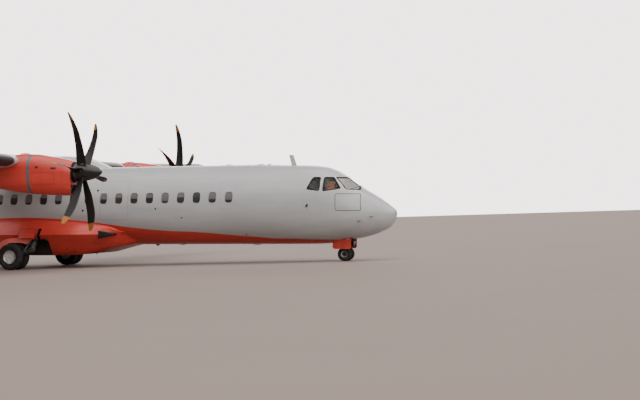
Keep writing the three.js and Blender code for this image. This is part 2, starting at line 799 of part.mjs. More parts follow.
const STEP_COUNT = 5;
const STEP_DEPTH = 270; // from the skin to the steps' inner edges

function makeRearBody() {
  const passenger = doorParts(PASSENGER_DOOR, DOOR_GAP, PASSENGER_DOOR.room);
  const service = doorParts(SERVICE_DOOR, 3, -500);
  const groove = service.opening.subtract(bodyPiece(0, BODY_CUTS.tail, SERVICE_DOOR.thickness + 3));
  let body = bodyPiece(BODY_CUTS.centre, BODY_CUTS.rear).subtract(passenger.opening).subtract(groove);
  let door = passenger.panel.add(airstair());
  for (const station of STAIR_HINGE.stations) {
    const hinge = stairHinge(station);
    body = body.add(hinge.bracket);
    door = door.add(hinge.arm);
  }
  put("fuselage_rear", body, GREY_PAINT);
  put("passenger_door", door, GREY_PAINT);
  put("service_door", service.panel, GREY_PAINT);
}

// Steps on the inside of the passenger door, on two stringers.
function airstair() {
  const [front, rear] = PASSENGER_DOOR.stations;
  const [sill, head] = PASSENGER_DOOR.heights;
  const inside = bodyPiece(0, BODY_CUTS.tail, PASSENGER_DOOR.thickness - 12);
  const behind = bodyPiece(0, BODY_CUTS.tail, STEP_DEPTH);
  const space = inside.subtract(behind);
  const pitch = (head - sill) / (STEP_COUNT + 1);
  const slabs = [];
  for (let k = 1; k <= STEP_COUNT; k++) {
    const z = sill + k * pitch;
    slabs.push(block([front + 60, rear - 60], [600, 1500], [z - 14, z + 14]));
  }
  for (const s of [front + 46, rear - 46]) {
    slabs.push(block([s - 14, s + 14], [600, 1500], [sill + 90, head - 120]));
  }
  return join(...slabs).intersect(space);
}

// Fairing over the wing root. Columns: station, half width, top, foot
const ROOT_FAIRING_TABLE = [
  [9850, 350, 3370, 3100],
  [10250, 820, 3540, 2960],
  [10800, 1110, 3735, 2880],
  [11500, 1230, 3800, 2840],
  [12600, 1240, 3790, 2840],
  [13500, 1150, 3660, 2870],
  [14300, 850, 3500, 2950],
  [14950, 400, 3370, 3100],
];

function makeRootFairing(skin, wingSeat) {
  const rings = ROOT_FAIRING_TABLE.map(([station, halfWidth, top, foot]) => {
    const ring = [];
    for (let i = 0; i <= 16; i++) {
      const angle = (i / 16) * Math.PI;
      const y = halfWidth * signedPower(Math.cos(angle), 0.75);
      ring.push(at(station, y, foot + (top - foot) * signedPower(Math.sin(angle), 0.75)));
    }
    return ring;
  });
  const fairing = solid(loft(rings)).subtract(skin).subtract(wingSeat);
  put("wing_root_fairing", fairing.subtract(flapRoom()), GREY_PAINT);
}

// Space that the inboard flaps sweep next to the root fairing.
function flapRoom() {
  const [inner] = FLAP_SPANS.inboard;
  const room = (way) => block([12500, 14600], [way * (inner - 10), way * 2000], [2400, 4200]);
  return join(room(1), room(-1));
}

// The fairing meets the cabin body at its inner edge and rounds over at its shoulder.
const FAIRING_EDGE = 1000;
const FAIRING_SHOULDER = 1300;

function gearFairingRing([station, halfWidth, crease, top, bottom, floor]) {
  const half = [
    [FAIRING_EDGE, top - 20],
    [Math.min(FAIRING_SHOULDER, halfWidth - 60), top],
    [(FAIRING_SHOULDER + halfWidth) / 2 + 20, top * 0.45 + crease * 0.55 + 60],
    [halfWidth, crease],
    [(halfWidth * 2 + floor) / 3, (crease * 2 + bottom) / 3 - 60],
    [(halfWidth + floor * 2) / 3, (crease + bottom * 2) / 3 - 80],
    [floor, bottom],
  ];
  const other = [...half].reverse().map(([y, z]) => [-y, z]);
  return [...half, ...other].map(([y, z]) => at(station, y, z));
}

const BELLY_HALF_WIDTH = 1180;
const WELL_INNER = 1400;
const WHEEL_WELL = [
  // station, height of the arch
  [13110, 300],
  [13075, 530],
  [12980, 700],
  [12820, 830],
  [12600, 930],
  [12130, 995],
  [11390, 1013],
  [11330, 950],
  [11330, 300],
];
// Room round the leg, behind the leg's door: distance to port, height
const LEG_ROOM = [
  [1400, 900],
  [1840, 900],
  [1850, 1150],
  [1690, 1330],
  [1400, 1345],
];
const LEG_ROOM_STATIONS = [11590, 12320];
const LEG_GAP = { stations: [11590, 11700], top: 1345 }; // open ahead of that door

function makeGearFairings(skin) {
  const whole = solid(loft(GEAR_FAIRING_TABLE.map(gearFairingRing))).subtract(skin);
  const middle = block([8000, 18000], [-BELLY_HALF_WIDTH, BELLY_HALF_WIDTH], [300, 2000]);
  put("belly_fairing", whole.intersect(middle), RED_PAINT);
  for (const [side, way] of SIDES) {
    const outside = block([8000, 18000], [way * (BELLY_HALF_WIDTH + JOINT_GAP), way * 2500], [300, 2000]);
    const well = sidePrism(WHEEL_WELL, [way * WELL_INNER, way * 2500]);
    const room = frontPrism(LEG_ROOM.map(([y, z]) => [way * y, z]), LEG_ROOM_STATIONS);
    const slot = block(LEG_GAP.stations, [way * WELL_INNER, way * 2500], [900, LEG_GAP.top]);
    const shell = whole.intersect(outside).subtract(well).subtract(room).subtract(slot);
    put(`gear_fairing_${side}`, shell.add(scoop(way)), RED_PAINT);
  }
}

// Wedge-shaped air scoop on the side of the gear fairing.
function scoop(way) {
  const outline = [
    [9140, 1120],
    [9140, 1180],
    [9670, 1270],
    [9670, 1000],
  ];
  return sidePrism(outline, [way * 1250, way * 1560]);
}

const RUDDER_HINGE = { foot: [24560, 3520], head: [25310, 6480] };

function makeFin(skin) {
  const whole = solid(loft(FIN_TABLE.map(([height]) => finRing(height))));
  const tailplane = (growth) =>
    solid(
      loft([
        tailplaneRing(-TAILPLANE.halfSpan, growth, 0.7),
        tailplaneRing(-TAILPLANE.halfSpan + 130, growth),
        tailplaneRing(0, growth),
        tailplaneRing(TAILPLANE.halfSpan - 130, growth),
        tailplaneRing(TAILPLANE.halfSpan, growth, 0.7),
      ]),
    );
  const seat = tailplane(SKIN_GAP);
  const level = TAILPLANE.height;
  const below = whole.intersect(block([17000, 28000], [-600, 600], [2500, level]));
  const above = whole.intersect(block([17000, 28000], [-600, 600], [level + JOINT_GAP, 8000]));
  put("fin_cap", above.subtract(seat), TAIL_PAINT);
  const fin = below.subtract(seat).subtract(skin);
  const foot = at(RUDDER_HINGE.foot[0], 0, RUDDER_HINGE.foot[1]);
  const head = at(RUDDER_HINGE.head[0], 0, RUDDER_HINGE.head[1]);
  const split = hingedSurface(fin, foot, head, 130, [0.15, 0.85], RUDDER_SWING);
  put("fin", split.fixed, TAIL_PAINT);
  put("rudder", split.surface, TAIL_PAINT);
  let fixed = tailplane(0);
  for (const [side, way] of SIDES) {
    const [inner, outer] = ELEVATOR_SPAN;
    const point = (y) => {
      const chord = THREE.MathUtils.lerp(TAILPLANE.chord, TAILPLANE.tipChord, y / TAILPLANE.halfSpan);
      return at(
        TAILPLANE.leading + y * TAILPLANE.sweep + ELEVATOR_CHORD_SHARE * chord,
        way * y,
        TAILPLANE.height,
      );
    };
    const [from, to] = way > 0 ? [point(inner), point(outer)] : [point(outer), point(inner)];
    const hinges = way > 0 ? [0.15, 0.8] : [0.2, 0.85];
    const elevator = hingedSurface(fixed, from, to, 88, hinges, ELEVATOR_SWING);
    fixed = elevator.fixed;
    put(`elevator_${side}`, elevator.surface, TAIL_PAINT);
  }
  put("tailplane", fixed, TAIL_PAINT);
}

function nacelleRing(station, y, place = station) {
  const [halfWidth, top, bottom] = nacelleAt(station);
  const ring = [];
  for (let i = 0; i < 20; i++) {
    const angle = (i / 20) * 2 * Math.PI;
    const power = 2 / NACELLE_SQUARENESS;
    const z = (top + bottom) / 2 + ((top - bottom) / 2) * signedPower(Math.sin(angle), power);
    ring.push(at(place, y + halfWidth * signedPower(Math.cos(angle), power), z));
  }
  return ring;
}

const INTAKE = { halfWidth: 270, bottom: 2440, top: 2700, depth: 330 };
const ENGINE = { stations: [9420, FIREWALL - 30], halfWidth: 330, heights: [2620, 3250] };
const EXHAUST = { stations: [12300, 13350], radius: 165, wall: 12, height: 2990, out: 400 };

function makeNacelles(wingSeat) {
  const stations = NACELLE_TABLE.map((row) => row[0]);
  for (const [side, way] of SIDES) {
    const y = way * NACELLE_Y;
    const front = stations.filter((s) => s <= FIREWALL);
    const rear = stations.filter((s) => s >= FIREWALL);
    const firewall = (s, shift) => (s === FIREWALL ? s + shift : s);
    let cowl = solid(loft(front.map((s) => nacelleRing(s, y, firewall(s, -JOINT_GAP / 2)))));
    const intake = intakeMouth(y);
    const bay = block(
      [ENGINE.stations[0] - 5, FIREWALL + 20],
      [y - ENGINE.halfWidth - 5, y + ENGINE.halfWidth + 5],
      [ENGINE.heights[0] - 5, ENGINE.heights[1] + 5],
    );
    cowl = cowl.subtract(wingSeat).subtract(intake).subtract(bay);
    put(`nacelle_cowl_${side}`, cowl, RED_PAINT);
    const engine = block(
      ENGINE.stations,
      [y - ENGINE.halfWidth, y + ENGINE.halfWidth],
      ENGINE.heights,
    );
    put(`engine_${side}`, engine, ENGINE_METAL);
    const pipe = exhaustPipe(y + way * EXHAUST.out);
    const aft = solid(loft(rear.map((s) => nacelleRing(s, y, firewall(s, JOINT_GAP / 2)))));
    put(`nacelle_aft_${side}`, aft.subtract(wingSeat).subtract(pipe.seat), RED_PAINT);
    put(`exhaust_${side}`, pipe.pipe, PIPE_METAL);
    makePropeller(side, y);
  }
}

function intakeMouth(y) {
  const { halfWidth, bottom, top, depth } = INTAKE;
  const shape = [
    [y - halfWidth, top - 60],
    [y - halfWidth + 60, bottom + 30],
    [y - halfWidth + 130, bottom],
    [y + halfWidth - 130, bottom],
    [y + halfWidth - 60, bottom + 30],
    [y + halfWidth, top - 60],
    [y + halfWidth - 50, top],
    [y - halfWidth + 50, top],
  ];
  const start = NACELLE_TABLE[0][0];
  return frontPrism(shape, [start - 100, start + depth]).subtract(
    block([start - 200, start + depth + 100], [y - 800, y + 800], [ENGINE.heights[0] - 40, 4000]),
  );
}

// Exhaust pipe: a tube with a closed front, its axis along the aircraft.
function exhaustPipe(y) {
  const { stations, radius, wall, height } = EXHAUST;
  const length = stations[1] - stations[0];
  const profile = [
    [0, 0],
    [radius, 0],
    [radius, length],
    [radius - wall, length],
    [radius - wall, 60],
    [0, 60],
  ];
  const lathe = (points, shift) =>
    solid(
      moved(
        new THREE.LatheGeometry(points.map(([r, x]) => new THREE.Vector2(r, x)), 20).rotateZ(Math.PI / 2),
        -stations[0] + shift,
        y,
        height,
      ),
    );
  const seat = [
    [0, 0],
    [radius + 1, 0],
    [radius + 1, length + 400],
    [0, length + 400],
  ];
  return { pipe: lathe(profile, 0), seat: lathe(seat, 1) };
}

// Propeller. Blade columns: radius, chord, thickness, sweep aft of the pitch axis, twist from feathered in
// degrees
const BLADE_TABLE = [
  [150, 150, 90, 0, 42],
  [330, 285, 62, 0, 33],
  [500, 268, 44, -8, 22],
  [850, 255, 28, -28, -4],
  [1300, 252, 18, -16, -19],
  [1600, 222, 14, 28, -26],
  [1850, 150, 10, 90, -29],
  [1965, 84, 7, 125, -31],
];
const BLADE_COUNT = 6;
const SPINNER = [
  // distance ahead of the hub's plane, radius
  [-240, 0],
  [-240, 285],
  [0, 275],
  [220, 246],
  [400, 195],
  [530, 128],
  [600, 62],
  [625, 0],
];

function bladeGeometry() {
  const rings = BLADE_TABLE.map(([radius, chord, thickness, sweep, twist]) => {
    const turn = THREE.MathUtils.degToRad(twist);
    const outline = Array.from({ length: 6 }, (_, i) => {
      const angle = (i / 6) * 2 * Math.PI;
      return [(chord / 2) * Math.cos(angle), (thickness / 2) * Math.sin(angle)];
    });
    return outline.map(([along, across]) => {
      const x = along * Math.cos(turn) - across * Math.sin(turn) - sweep;
      return new THREE.Vector3(x, along * Math.sin(turn) + across * Math.cos(turn), radius);
    });
  });
  return loft(rings);
}

function makePropeller(side, y) {
  const group = new THREE.Group();
  group.position.set(-HUB.station, y, HUB.height);
  group.rotation.x = -THREE.MathUtils.degToRad(PARKED_AZIMUTH[side]);
  airframe.add(group);
  const outline = SPINNER.map(([x, r]) => new THREE.Vector2(r, x));
  const spinner = solid(new THREE.LatheGeometry(outline, 18).rotateZ(-Math.PI / 2));
  let whole = spinner;
  for (let k = 0; k < BLADE_COUNT; k++) {
    const blade = bladeGeometry().rotateX((k * 2 * Math.PI) / BLADE_COUNT);
    whole = whole.add(solid(blade));
  }
  put(`propeller_${side}`, whole, BLADE_PAINT, group);
}

// Twin wheels on one axle, turned about the line across the aircraft.
function twinWheels({ radius, width, halfSpacing }, rimRadius, axleRadius) {
  const inner = halfSpacing - width / 2;
  const outer = halfSpacing + width / 2;
  const half = [
    [0, outer - width * 0.26],
    [rimRadius * 0.8, outer - width * 0.36],
    [rimRadius, outer - width * 0.1],
    [radius * 0.82, outer],
    [radius * 0.95, outer - width * 0.1],
    [radius, outer - width * 0.27],
    [radius, inner + width * 0.27],
    [radius * 0.9, inner],
    [rimRadius * 1.1, inner + width * 0.04],
    [axleRadius, inner + width * 0.28],
  ];
  const outline = [...half, ...[...half].reverse().map(([r, x]) => [r, -x])];
  const points = outline.map(([r, x]) => new THREE.Vector2(r, x)).reverse();
  return solid(new THREE.LatheGeometry(points, 22));
}

const MAIN_AXLE_RADIUS = 46;
const NOSE_AXLE_RADIUS = 26;
const AXLE_CLEARANCE = 3;

// Main gear in ground axes whose origin is under the main axle line: lengths forward, to port and up.
function makeMainGear() {
  const { radius, track } = MAIN_TYRE;
  for (const [side, way] of SIDES) {
    const p = (forward, y, z) => new THREE.Vector3(forward, way * y, z);
    const wheels = new THREE.Group();
    wheels.position.set(0, way * track, radius);
    gear.add(wheels);
    put(`main_wheels_${side}`, twinWheels(MAIN_TYRE, 205, MAIN_AXLE_RADIUS), TYRE_RUBBER, wheels);
    const eye = bar(p(0, track - 55, radius), p(0, track + 55, radius), 95, 95, 14);
    const arm = bar(p(660, track, 640), p(60, track, radius + 12), 72, 58);
    const knuckle = bar(p(670, track - 85, 650), p(670, track + 85, 650), 98, 98, 14);
    const leg = bar(p(670, track, 650), p(600, 1475, 1200), 88, 100);
    const damper = bar(p(330, track, 545), p(560, 1740, 1040), 44, 52);
    const trunnion = bar(p(872, 1530, 1190), p(168, 1530, 1190), 70);
    const damperHead = bar(p(560, 1755, 1045), p(590, 1530, 1150), 50, 60);
    const boreRadius = MAIN_AXLE_RADIUS + AXLE_CLEARANCE;
    const bore = bar(p(0, track - 90, radius), p(0, track + 90, radius), boreRadius, boreRadius, 20);
    const whole = join(eye, arm, knuckle, leg, damper, trunnion, damperHead).subtract(bore);
    put(`main_gear_leg_${side}`, whole, GEAR_METAL, gear);
  }
}

// Nose gear in the same ground axes; the leg stands upright.
const NOSE_AXLE = { forward: MAIN_GEAR_STATION - NOSE_GEAR_STATION, height: NOSE_TYRE.radius };

function makeNoseGear() {
  const x = NOSE_AXLE.forward;
  const p = (forward, y, z) => new THREE.Vector3(x + forward, y, z);
  const wheels = new THREE.Group();
  wheels.position.set(x, 0, NOSE_AXLE.height);
  gear.add(wheels);
  put("nose_wheels", twinWheels(NOSE_TYRE, 98, NOSE_AXLE_RADIUS), TYRE_RUBBER, wheels);
  const axle = (halfLength, radius, sides) => {
    const [from, to] = [-halfLength, halfLength].map((y) => p(0, y, NOSE_AXLE.height));
    return bar(from, to, radius, radius, sides);
  };
  const tube = bar(p(0, 0, 545), p(0, 0, NOSE_AXLE.height), 46);
  const eye = axle(62, 56, 14);
  const bore = axle(90, NOSE_AXLE_RADIUS + AXLE_CLEARANCE, 20);
  const collar = bar(p(0, 0, 470), p(0, 0, 545), 78);
  const lowerLink = bar(p(-10, 0, 285), p(-190, 0, 375), 20);
  const upperLink = bar(p(-190, 0, 375), p(-40, 0, 505), 20);
  const apex = bar(p(-190, -34, 375), p(-190, 34, 375), 24);
  const fork = join(tube, eye, collar, lowerLink, upperLink, apex).subtract(bore);
  put("nose_gear_fork", fork, GEAR_METAL, gear);
  const strut = bar(p(0, 0, 550), p(0, 0, 1200), 70);
  const cross = bar(p(-10, -395, 1080), p(-10, 395, 1080), 48);
  const brace = bar(p(0, 0, 760), p(-330, 0, 1090), 34);
  put("nose_gear_strut", join(strut, cross, brace), GEAR_METAL, gear);
  const lampBody = join(
    bar(p(300, -95, 560), p(150, -95, 560), 84, 60),
    bar(p(300, 95, 560), p(150, 95, 560), 84, 60),
    bar(p(190, -100, 560), p(190, 100, 560), 30),
    bar(p(190, 0, 580), p(71, 0, 580), 26),
  );
  put("taxi_lights", lampBody, BLADE_PAINT, gear);
}

// Doors that stand open beside the gear.
function makeGearDoors() {
  for (const [side, way] of SIDES) {
    const panel = block([1425, 2035], [way * 388, way * 404], [625, 1000]);
    const lugs = [1500, 1920].map((s) => block([s, s + 40], [way * 400, way * 419.5], [930, 985]));
    put(`nose_gear_door_${side}`, join(panel, ...lugs), RED_PAINT);
  }
}

makeWing();
makeBody();
makeMainGear();
makeNoseGear();
makeGearDoors();

export default aircraft;
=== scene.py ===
"""Turboprop airliner: skins, glass, wheels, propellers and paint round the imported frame.

Metres. Outer axes: X forward, Y to port, Z up from the ground. Airframe axes: a station is a distance
aft of the nose tip and a height is taken above the ground under the main wheels, levelled with the
cabin floor; placed() turns them nose down onto the gear.
"""

import math

import bmesh
import bpy
import numpy as np
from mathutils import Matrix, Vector


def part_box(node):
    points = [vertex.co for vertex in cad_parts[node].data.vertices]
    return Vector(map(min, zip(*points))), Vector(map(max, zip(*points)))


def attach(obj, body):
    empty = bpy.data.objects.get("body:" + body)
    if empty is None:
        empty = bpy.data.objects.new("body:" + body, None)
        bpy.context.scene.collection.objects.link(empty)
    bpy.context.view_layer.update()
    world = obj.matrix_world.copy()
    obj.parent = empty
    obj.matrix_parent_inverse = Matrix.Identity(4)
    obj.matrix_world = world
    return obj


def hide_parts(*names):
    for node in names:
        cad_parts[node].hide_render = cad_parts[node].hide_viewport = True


bl_info = {
    "name": "Turboprop airliner",
    "version": (1, 0, 0),
    "blender": (4, 5, 0),
    "location": "View3D > Sidebar > Airliner",
    "description": "Dresses the packed airliner with skins, glass, wheels, propellers and paint",
    "category": "Object",
}

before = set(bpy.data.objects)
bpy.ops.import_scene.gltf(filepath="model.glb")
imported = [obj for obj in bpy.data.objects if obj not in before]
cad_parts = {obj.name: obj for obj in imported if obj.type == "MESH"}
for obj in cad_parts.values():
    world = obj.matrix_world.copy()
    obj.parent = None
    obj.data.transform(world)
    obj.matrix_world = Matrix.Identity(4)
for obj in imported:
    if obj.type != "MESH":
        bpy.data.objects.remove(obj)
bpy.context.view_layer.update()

TAU = 2 * math.pi
PITCH = math.radians(1.24)
MAIN_AXLE_STATION, MAIN_AXLE_HEIGHT = 12.459, 0.432
MAIN_AXLE_X = sum(corner.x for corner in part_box("main_wheels_left")) / 2
NOSE_AXLE_X = MAIN_AXLE_X + 10.77
SIDES = (("left", 1), ("right", -1))


def placed(station, y, z):
    """Airframe axes to the frame: a turn by PITCH, nose down, about the main axle."""
    ahead, up = MAIN_AXLE_STATION - station, z - MAIN_AXLE_HEIGHT
    x = MAIN_AXLE_X + ahead * math.cos(PITCH) + up * math.sin(PITCH)
    height = up * math.cos(PITCH) - ahead * math.sin(PITCH) + MAIN_AXLE_HEIGHT
    return np.stack(np.broadcast_arrays(x, y, height), -1)


AFT = placed(1, 0, 0) - placed(0, 0, 0)


def grounded(forward, y, z):
    """Ground axes to the frame: a length forward of the main axle, a length to port and a height."""
    return np.stack(np.broadcast_arrays(MAIN_AXLE_X + forward, y, z), -1)


def circle(count):
    """Even angles round a full turn."""
    return np.linspace(0, TAU, count, endpoint=False)


def tint(colour, share):
    """A colour made lighter or darker by a share."""
    return tuple(v * share for v in colour)


def signed_power(value, power):
    """The value's size to a power, with the value's sign."""
    return np.sign(value) * np.abs(value) ** power


def curve_through(rows):
    """Cubic pieces through a table's rows. The slope at a row is the weighted harmonic mean of the two
    chords beside it, or none where they differ in sign, so that no piece overshoots its rows."""
    rows = np.asarray(rows, float)
    x, y = rows[:, 0], rows[:, 1:]
    h = np.diff(x)[:, None]
    chord = np.diff(y, axis=0) / h
    before, after = 2 * h[1:] + h[:-1], h[1:] + 2 * h[:-1]
    same = chord[:-1] * chord[1:] > 0
    safe = np.where(same, chord[:-1], 1), np.where(same, chord[1:], 1)
    inner = np.where(same, (before + after) / (before / safe[0] + after / safe[1]), 0)
    slope = np.vstack([chord[:1], inner, chord[-1:]])

    def value(at):
        at = np.asarray(at, float)
        k = np.clip(np.searchsorted(x, at, "right") - 1, 0, len(x) - 2)
        t = ((at - x[k]) / h[k, 0])[..., None]
        a, b, rise = slope[k] * h[k], slope[k + 1] * h[k], y[k + 1] - y[k]
        return y[k] + t * (a + t * (3 * rise - 2 * a - b + t * (a + b - 2 * rise)))

    return value


# Body: station, half width, top, bottom, height of the widest line, squareness of the top, millimetres
BODY_TABLE = np.array(
    [
        [0, 12, 1774, 1750, 1762, 2],
        [60, 215, 1895, 1520, 1745, 2],
        [180, 370, 1992, 1355, 1740, 2],
        [400, 570, 2158, 1215, 1740, 2.1],
        [800, 800, 2412, 1060, 1740, 2.2],
        [1250, 985, 2677, 955, 1760, 2.3],
        [1600, 1090, 2935, 910, 1790, 2.4],
        [1950, 1175, 3157, 843, 1830, 2.4],
        [2300, 1245, 3275, 795, 1870, 2.35],
        [2800, 1320, 3332, 783, 1910, 2.25],
        [3600, 1400, 3356, 781, 1945, 2.08],
        [4800, 1432.5, 3389.5, 781, 1957, 2],
        [18300, 1432.5, 3389.5, 781, 1957, 2],
        [19600, 1385, 3389, 900, 1990, 2],
        [21200, 1210, 3380, 1255, 2110, 2],
        [23000, 880, 3345, 1760, 2350, 2],
        [24600, 510, 3280, 2260, 2620, 2],
        [25900, 150, 3190, 2760, 2950, 2],
    ]
) * [0.001, 0.001, 0.001, 0.001, 0.001, 1]
BELLY_SQUARENESS = 2.15
body_rows = curve_through(np.column_stack([np.sqrt(BODY_TABLE[:, 0]), BODY_TABLE[:, 1:]]))


def body_section(station):
    """Half width, top, bottom, widest height and squareness; the table runs on the station's root, so
    that the nose tip comes out round."""
    return np.moveaxis(body_rows(np.sqrt(station)), -1, 0)


def body_point(station, angle, inset=0.0):
    """The body's section: half width times the cosine and rise times the sine of an angle from port
    over the top, each to the power that squares the section, about the widest line."""
    half, top, bottom, widest, square = body_section(station)
    upper = np.sin(angle) >= 0
    power = 2 / np.where(upper, square, BELLY_SQUARENESS)
    rise = np.where(upper, top - widest, widest - bottom) - inset
    y = (half - inset) * signed_power(np.cos(angle), power)
    return placed(station, y, widest + rise * signed_power(np.sin(angle), power))


def body_side(station, height, way, inset=0.0):
    """The body's skin at a station and a height, on one side: the section's equation solved for y."""
    half, top, bottom, widest, square = body_section(station)
    upper = height >= widest
    power = np.where(upper, square, BELLY_SQUARENESS)
    rise = np.where(upper, top - widest, widest - bottom) - inset
    share = np.clip(np.abs(height - widest) / rise, 0, 1) ** power
    return placed(station, way * (half - inset) * (1 - share) ** (1 / power), height)


# Meshes


def grid_quads(rows, columns, closed=False):
    """Quads between the points of a grid, row by row; closed joins the last column to the first."""
    i = np.arange(rows - 1)[:, None] * columns
    j = np.arange(columns if closed else columns - 1)[None, :]
    k = (j + 1) % columns
    return np.stack([i + j, i + k, i + columns + k, i + columns + j], -1).reshape(-1, 4)


def sheet(points, closed=False):
    """A grid of points, rows by columns, as a patch."""
    rows, columns = points.shape[:2]
    return points.reshape(-1, 3), grid_quads(rows, columns, closed).tolist()


def lid(ring):
    """A ring of points closed by triangles to its middle, as a patch."""
    n = len(ring)
    k = np.arange(n)
    faces = np.stack([k, (k + 1) % n, np.full(n, n)], -1)
    return np.vstack([ring, ring.mean(0)]), faces.tolist()


def loft(rings):
    """A closed patch list: the skin through rings of points, with a lid on each end."""
    return [sheet(rings, True), lid(rings[0]), lid(rings[-1])]


def piece(name, patches, finish, body="airframe", replaces=(), wall=0.0, angle=40, weld=2e-5):
    """Joins patches into one object, doubles merged and normals outwards, then gives it a wall inwards,
    its finish and its body."""
    points = np.vstack([p for p, _ in patches])
    starts = np.cumsum([0] + [len(p) for p, _ in patches[:-1]])
    faces = [tuple(i + start for i in face) for (_, fs), start in zip(patches, starts) for face in fs]
    mesh = bpy.data.meshes.new(name)
    mesh.from_pydata(points.tolist(), [], faces)
    tidy = bmesh.new()
    tidy.from_mesh(mesh)
    bmesh.ops.remove_doubles(tidy, verts=tidy.verts, dist=weld)
    bmesh.ops.dissolve_degenerate(tidy, edges=tidy.edges, dist=1e-7)
    bmesh.ops.recalc_face_normals(tidy, faces=tidy.faces)
    tidy.to_mesh(mesh)
    tidy.free()
    thing = bpy.data.objects.new(name, mesh)
    bpy.context.scene.collection.objects.link(thing)
    if wall:
        solidify = thing.modifiers.new("wall", "SOLIDIFY")
        solidify.thickness = wall
        solidify.offset = -1
        settle(thing)
    smooth(thing, angle)
    if finish is not None:
        thing.data.materials.append(paint(finish))
    if body is not None:
        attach(thing, body)
    if replaces:
        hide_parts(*replaces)
    return thing


def smooth(thing, angle):
    """Smooth shading, with edges sharper than an angle left sharp."""
    thing.data.shade_smooth()
    thing.data.set_sharp_from_angle(angle=math.radians(angle))


def settle(thing):
    """Puts what a piece's modifiers make of its mesh in the mesh's place."""
    graph = bpy.context.evaluated_depsgraph_get()
    made = bpy.data.meshes.new_from_object(thing.evaluated_get(graph))
    thing.modifiers.clear()
    thing.data = made


def carve(thing, cutters, operation="DIFFERENCE", angle=40, inside=None):
    """Cuts a closed piece by closed patch lists; the new faces may take a paint of their own."""
    tools = [piece("cutter", patches, inside, None) for patches in cutters]
    for tool in tools:
        cut = thing.modifiers.new("cut", "BOOLEAN")
        cut.operation, cut.object, cut.solver = operation, tool, "EXACT"
        cut.material_mode = "TRANSFER" if inside else "INDEX"
    settle(thing)
    for tool in tools:
        bpy.data.objects.remove(tool)
    smooth(thing, angle)
    return thing


def box(place, low, high):
    """A box between two corners in a pair of axes, as a closed patch list."""
    corners = np.array([[low[0], high[0]], [low[1], high[1]], [low[2], high[2]]])
    a, b, c = np.meshgrid(*corners, indexing="ij")
    points = place(a.ravel(), b.ravel(), c.ravel())
    faces = [[0, 1, 3, 2], [4, 6, 7, 5], [0, 4, 5, 1], [2, 3, 7, 6], [0, 2, 6, 4], [1, 5, 7, 3]]
    return [(points, faces)]


def rounded(outline, radius, steps=5):
    """An outline with its corners rounded: each corner is an arc between the points that lie a cut
    away from it along its two edges, blended as a quadratic curve."""
    outline = np.asarray(outline, float)
    before, after = np.roll(outline, 1, 0), np.roll(outline, -1, 0)
    reach = [np.linalg.norm(o - outline, axis=1) for o in (before, after)]
    cut = np.minimum(np.minimum(*reach) * 0.45, radius)[:, None]
    a = outline + (before - outline) / reach[0][:, None] * cut
    b = outline + (after - outline) / reach[1][:, None] * cut
    t = np.linspace(0, 1, steps)[None, :, None]
    arcs = (1 - t) ** 2 * a[:, None] + 2 * t * (1 - t) * outline[:, None] + t**2 * b[:, None]
    return arcs.reshape(-1, 2)


def resampled(outline, step):
    """A closed outline with points at even steps along it."""
    closed = np.vstack([outline, outline[:1]])
    along = np.concatenate([[0], np.cumsum(np.linalg.norm(np.diff(closed, axis=0), axis=1))])
    count = max(int(along[-1] / step), 8)
    at = np.linspace(0, along[-1], count, endpoint=False)
    return np.stack([np.interp(at, along, closed[:, i]) for i in range(closed.shape[1])], -1)


def block(low, high, radius, step):
    """Outline of a block between two corners, rounded and with even steps."""
    (a, c), (b, d) = low, high
    return resampled(rounded([(a, c), (b, c), (b, d), (a, d)], radius), step)


def bend(points, count):
    """A smooth path through a few points."""
    table = np.column_stack([np.arange(len(points)), points])
    return curve_through(table)(np.linspace(0, len(points) - 1, count))


def side_prism(outline, ys):
    """A station and height outline pushed between two distances to port."""
    stations, heights = np.transpose(outline)
    return loft(np.stack([placed(stations, y, heights) for y in ys]))


def front_prism(outline, stations):
    """A y and height outline pushed between two stations."""
    ys, heights = np.transpose(outline)
    return loft(np.stack([placed(s, ys, heights) for s in stations]))


def frames_along(path, closed=False):
    """Unit tangents of a path."""
    ahead = np.roll(path, -1, 0) - np.roll(path, 1, 0)
    if not closed:
        ahead[0], ahead[-1] = path[1] - path[0], path[-1] - path[-2]
    return ahead / np.linalg.norm(ahead, axis=1, keepdims=True)


def tube(path, radii, sides=24):
    """Circles of given radii about a path, as a closed patch list. The first side axis is the one least
    along the path, and the rest follow by cross products."""
    path = np.asarray(path, float)
    radii = np.broadcast_to(np.asarray(radii, float), len(path))
    ahead = frames_along(path)
    seed = np.eye(3)[np.argmin(np.abs(ahead).sum(0))]
    a = np.cross(ahead, seed)
    a /= np.linalg.norm(a, axis=1, keepdims=True)
    b = np.cross(ahead, a)
    t = circle(sides)
    rings = path[:, None] + radii[:, None, None] * (
        a[:, None] * np.cos(t)[None, :, None] + b[:, None] * np.sin(t)[None, :, None]
    )
    return loft(rings)


def turned(profile, centre, axis, sides=48):
    """A profile of (radius, distance along the axis) pairs turned about an axis, as a patch list. A
    profile that starts and ends on the axis is closed."""
    axis = np.asarray(axis, float) / np.linalg.norm(axis)
    seed = np.array([0.0, 0, 1]) if abs(axis[2]) < 0.9 else np.array([1.0, 0, 0])
    a = np.cross(axis, seed)
    a /= np.linalg.norm(a)
    b = np.cross(axis, a)
    t = circle(sides)
    spoke = a[None] * np.cos(t)[:, None] + b[None] * np.sin(t)[:, None]
    profile = np.asarray(profile, float)
    points = np.asarray(centre) + profile[:, None, :1] * spoke[None] + profile[:, None, 1:] * axis
    return [sheet(points, True)]


# Paint


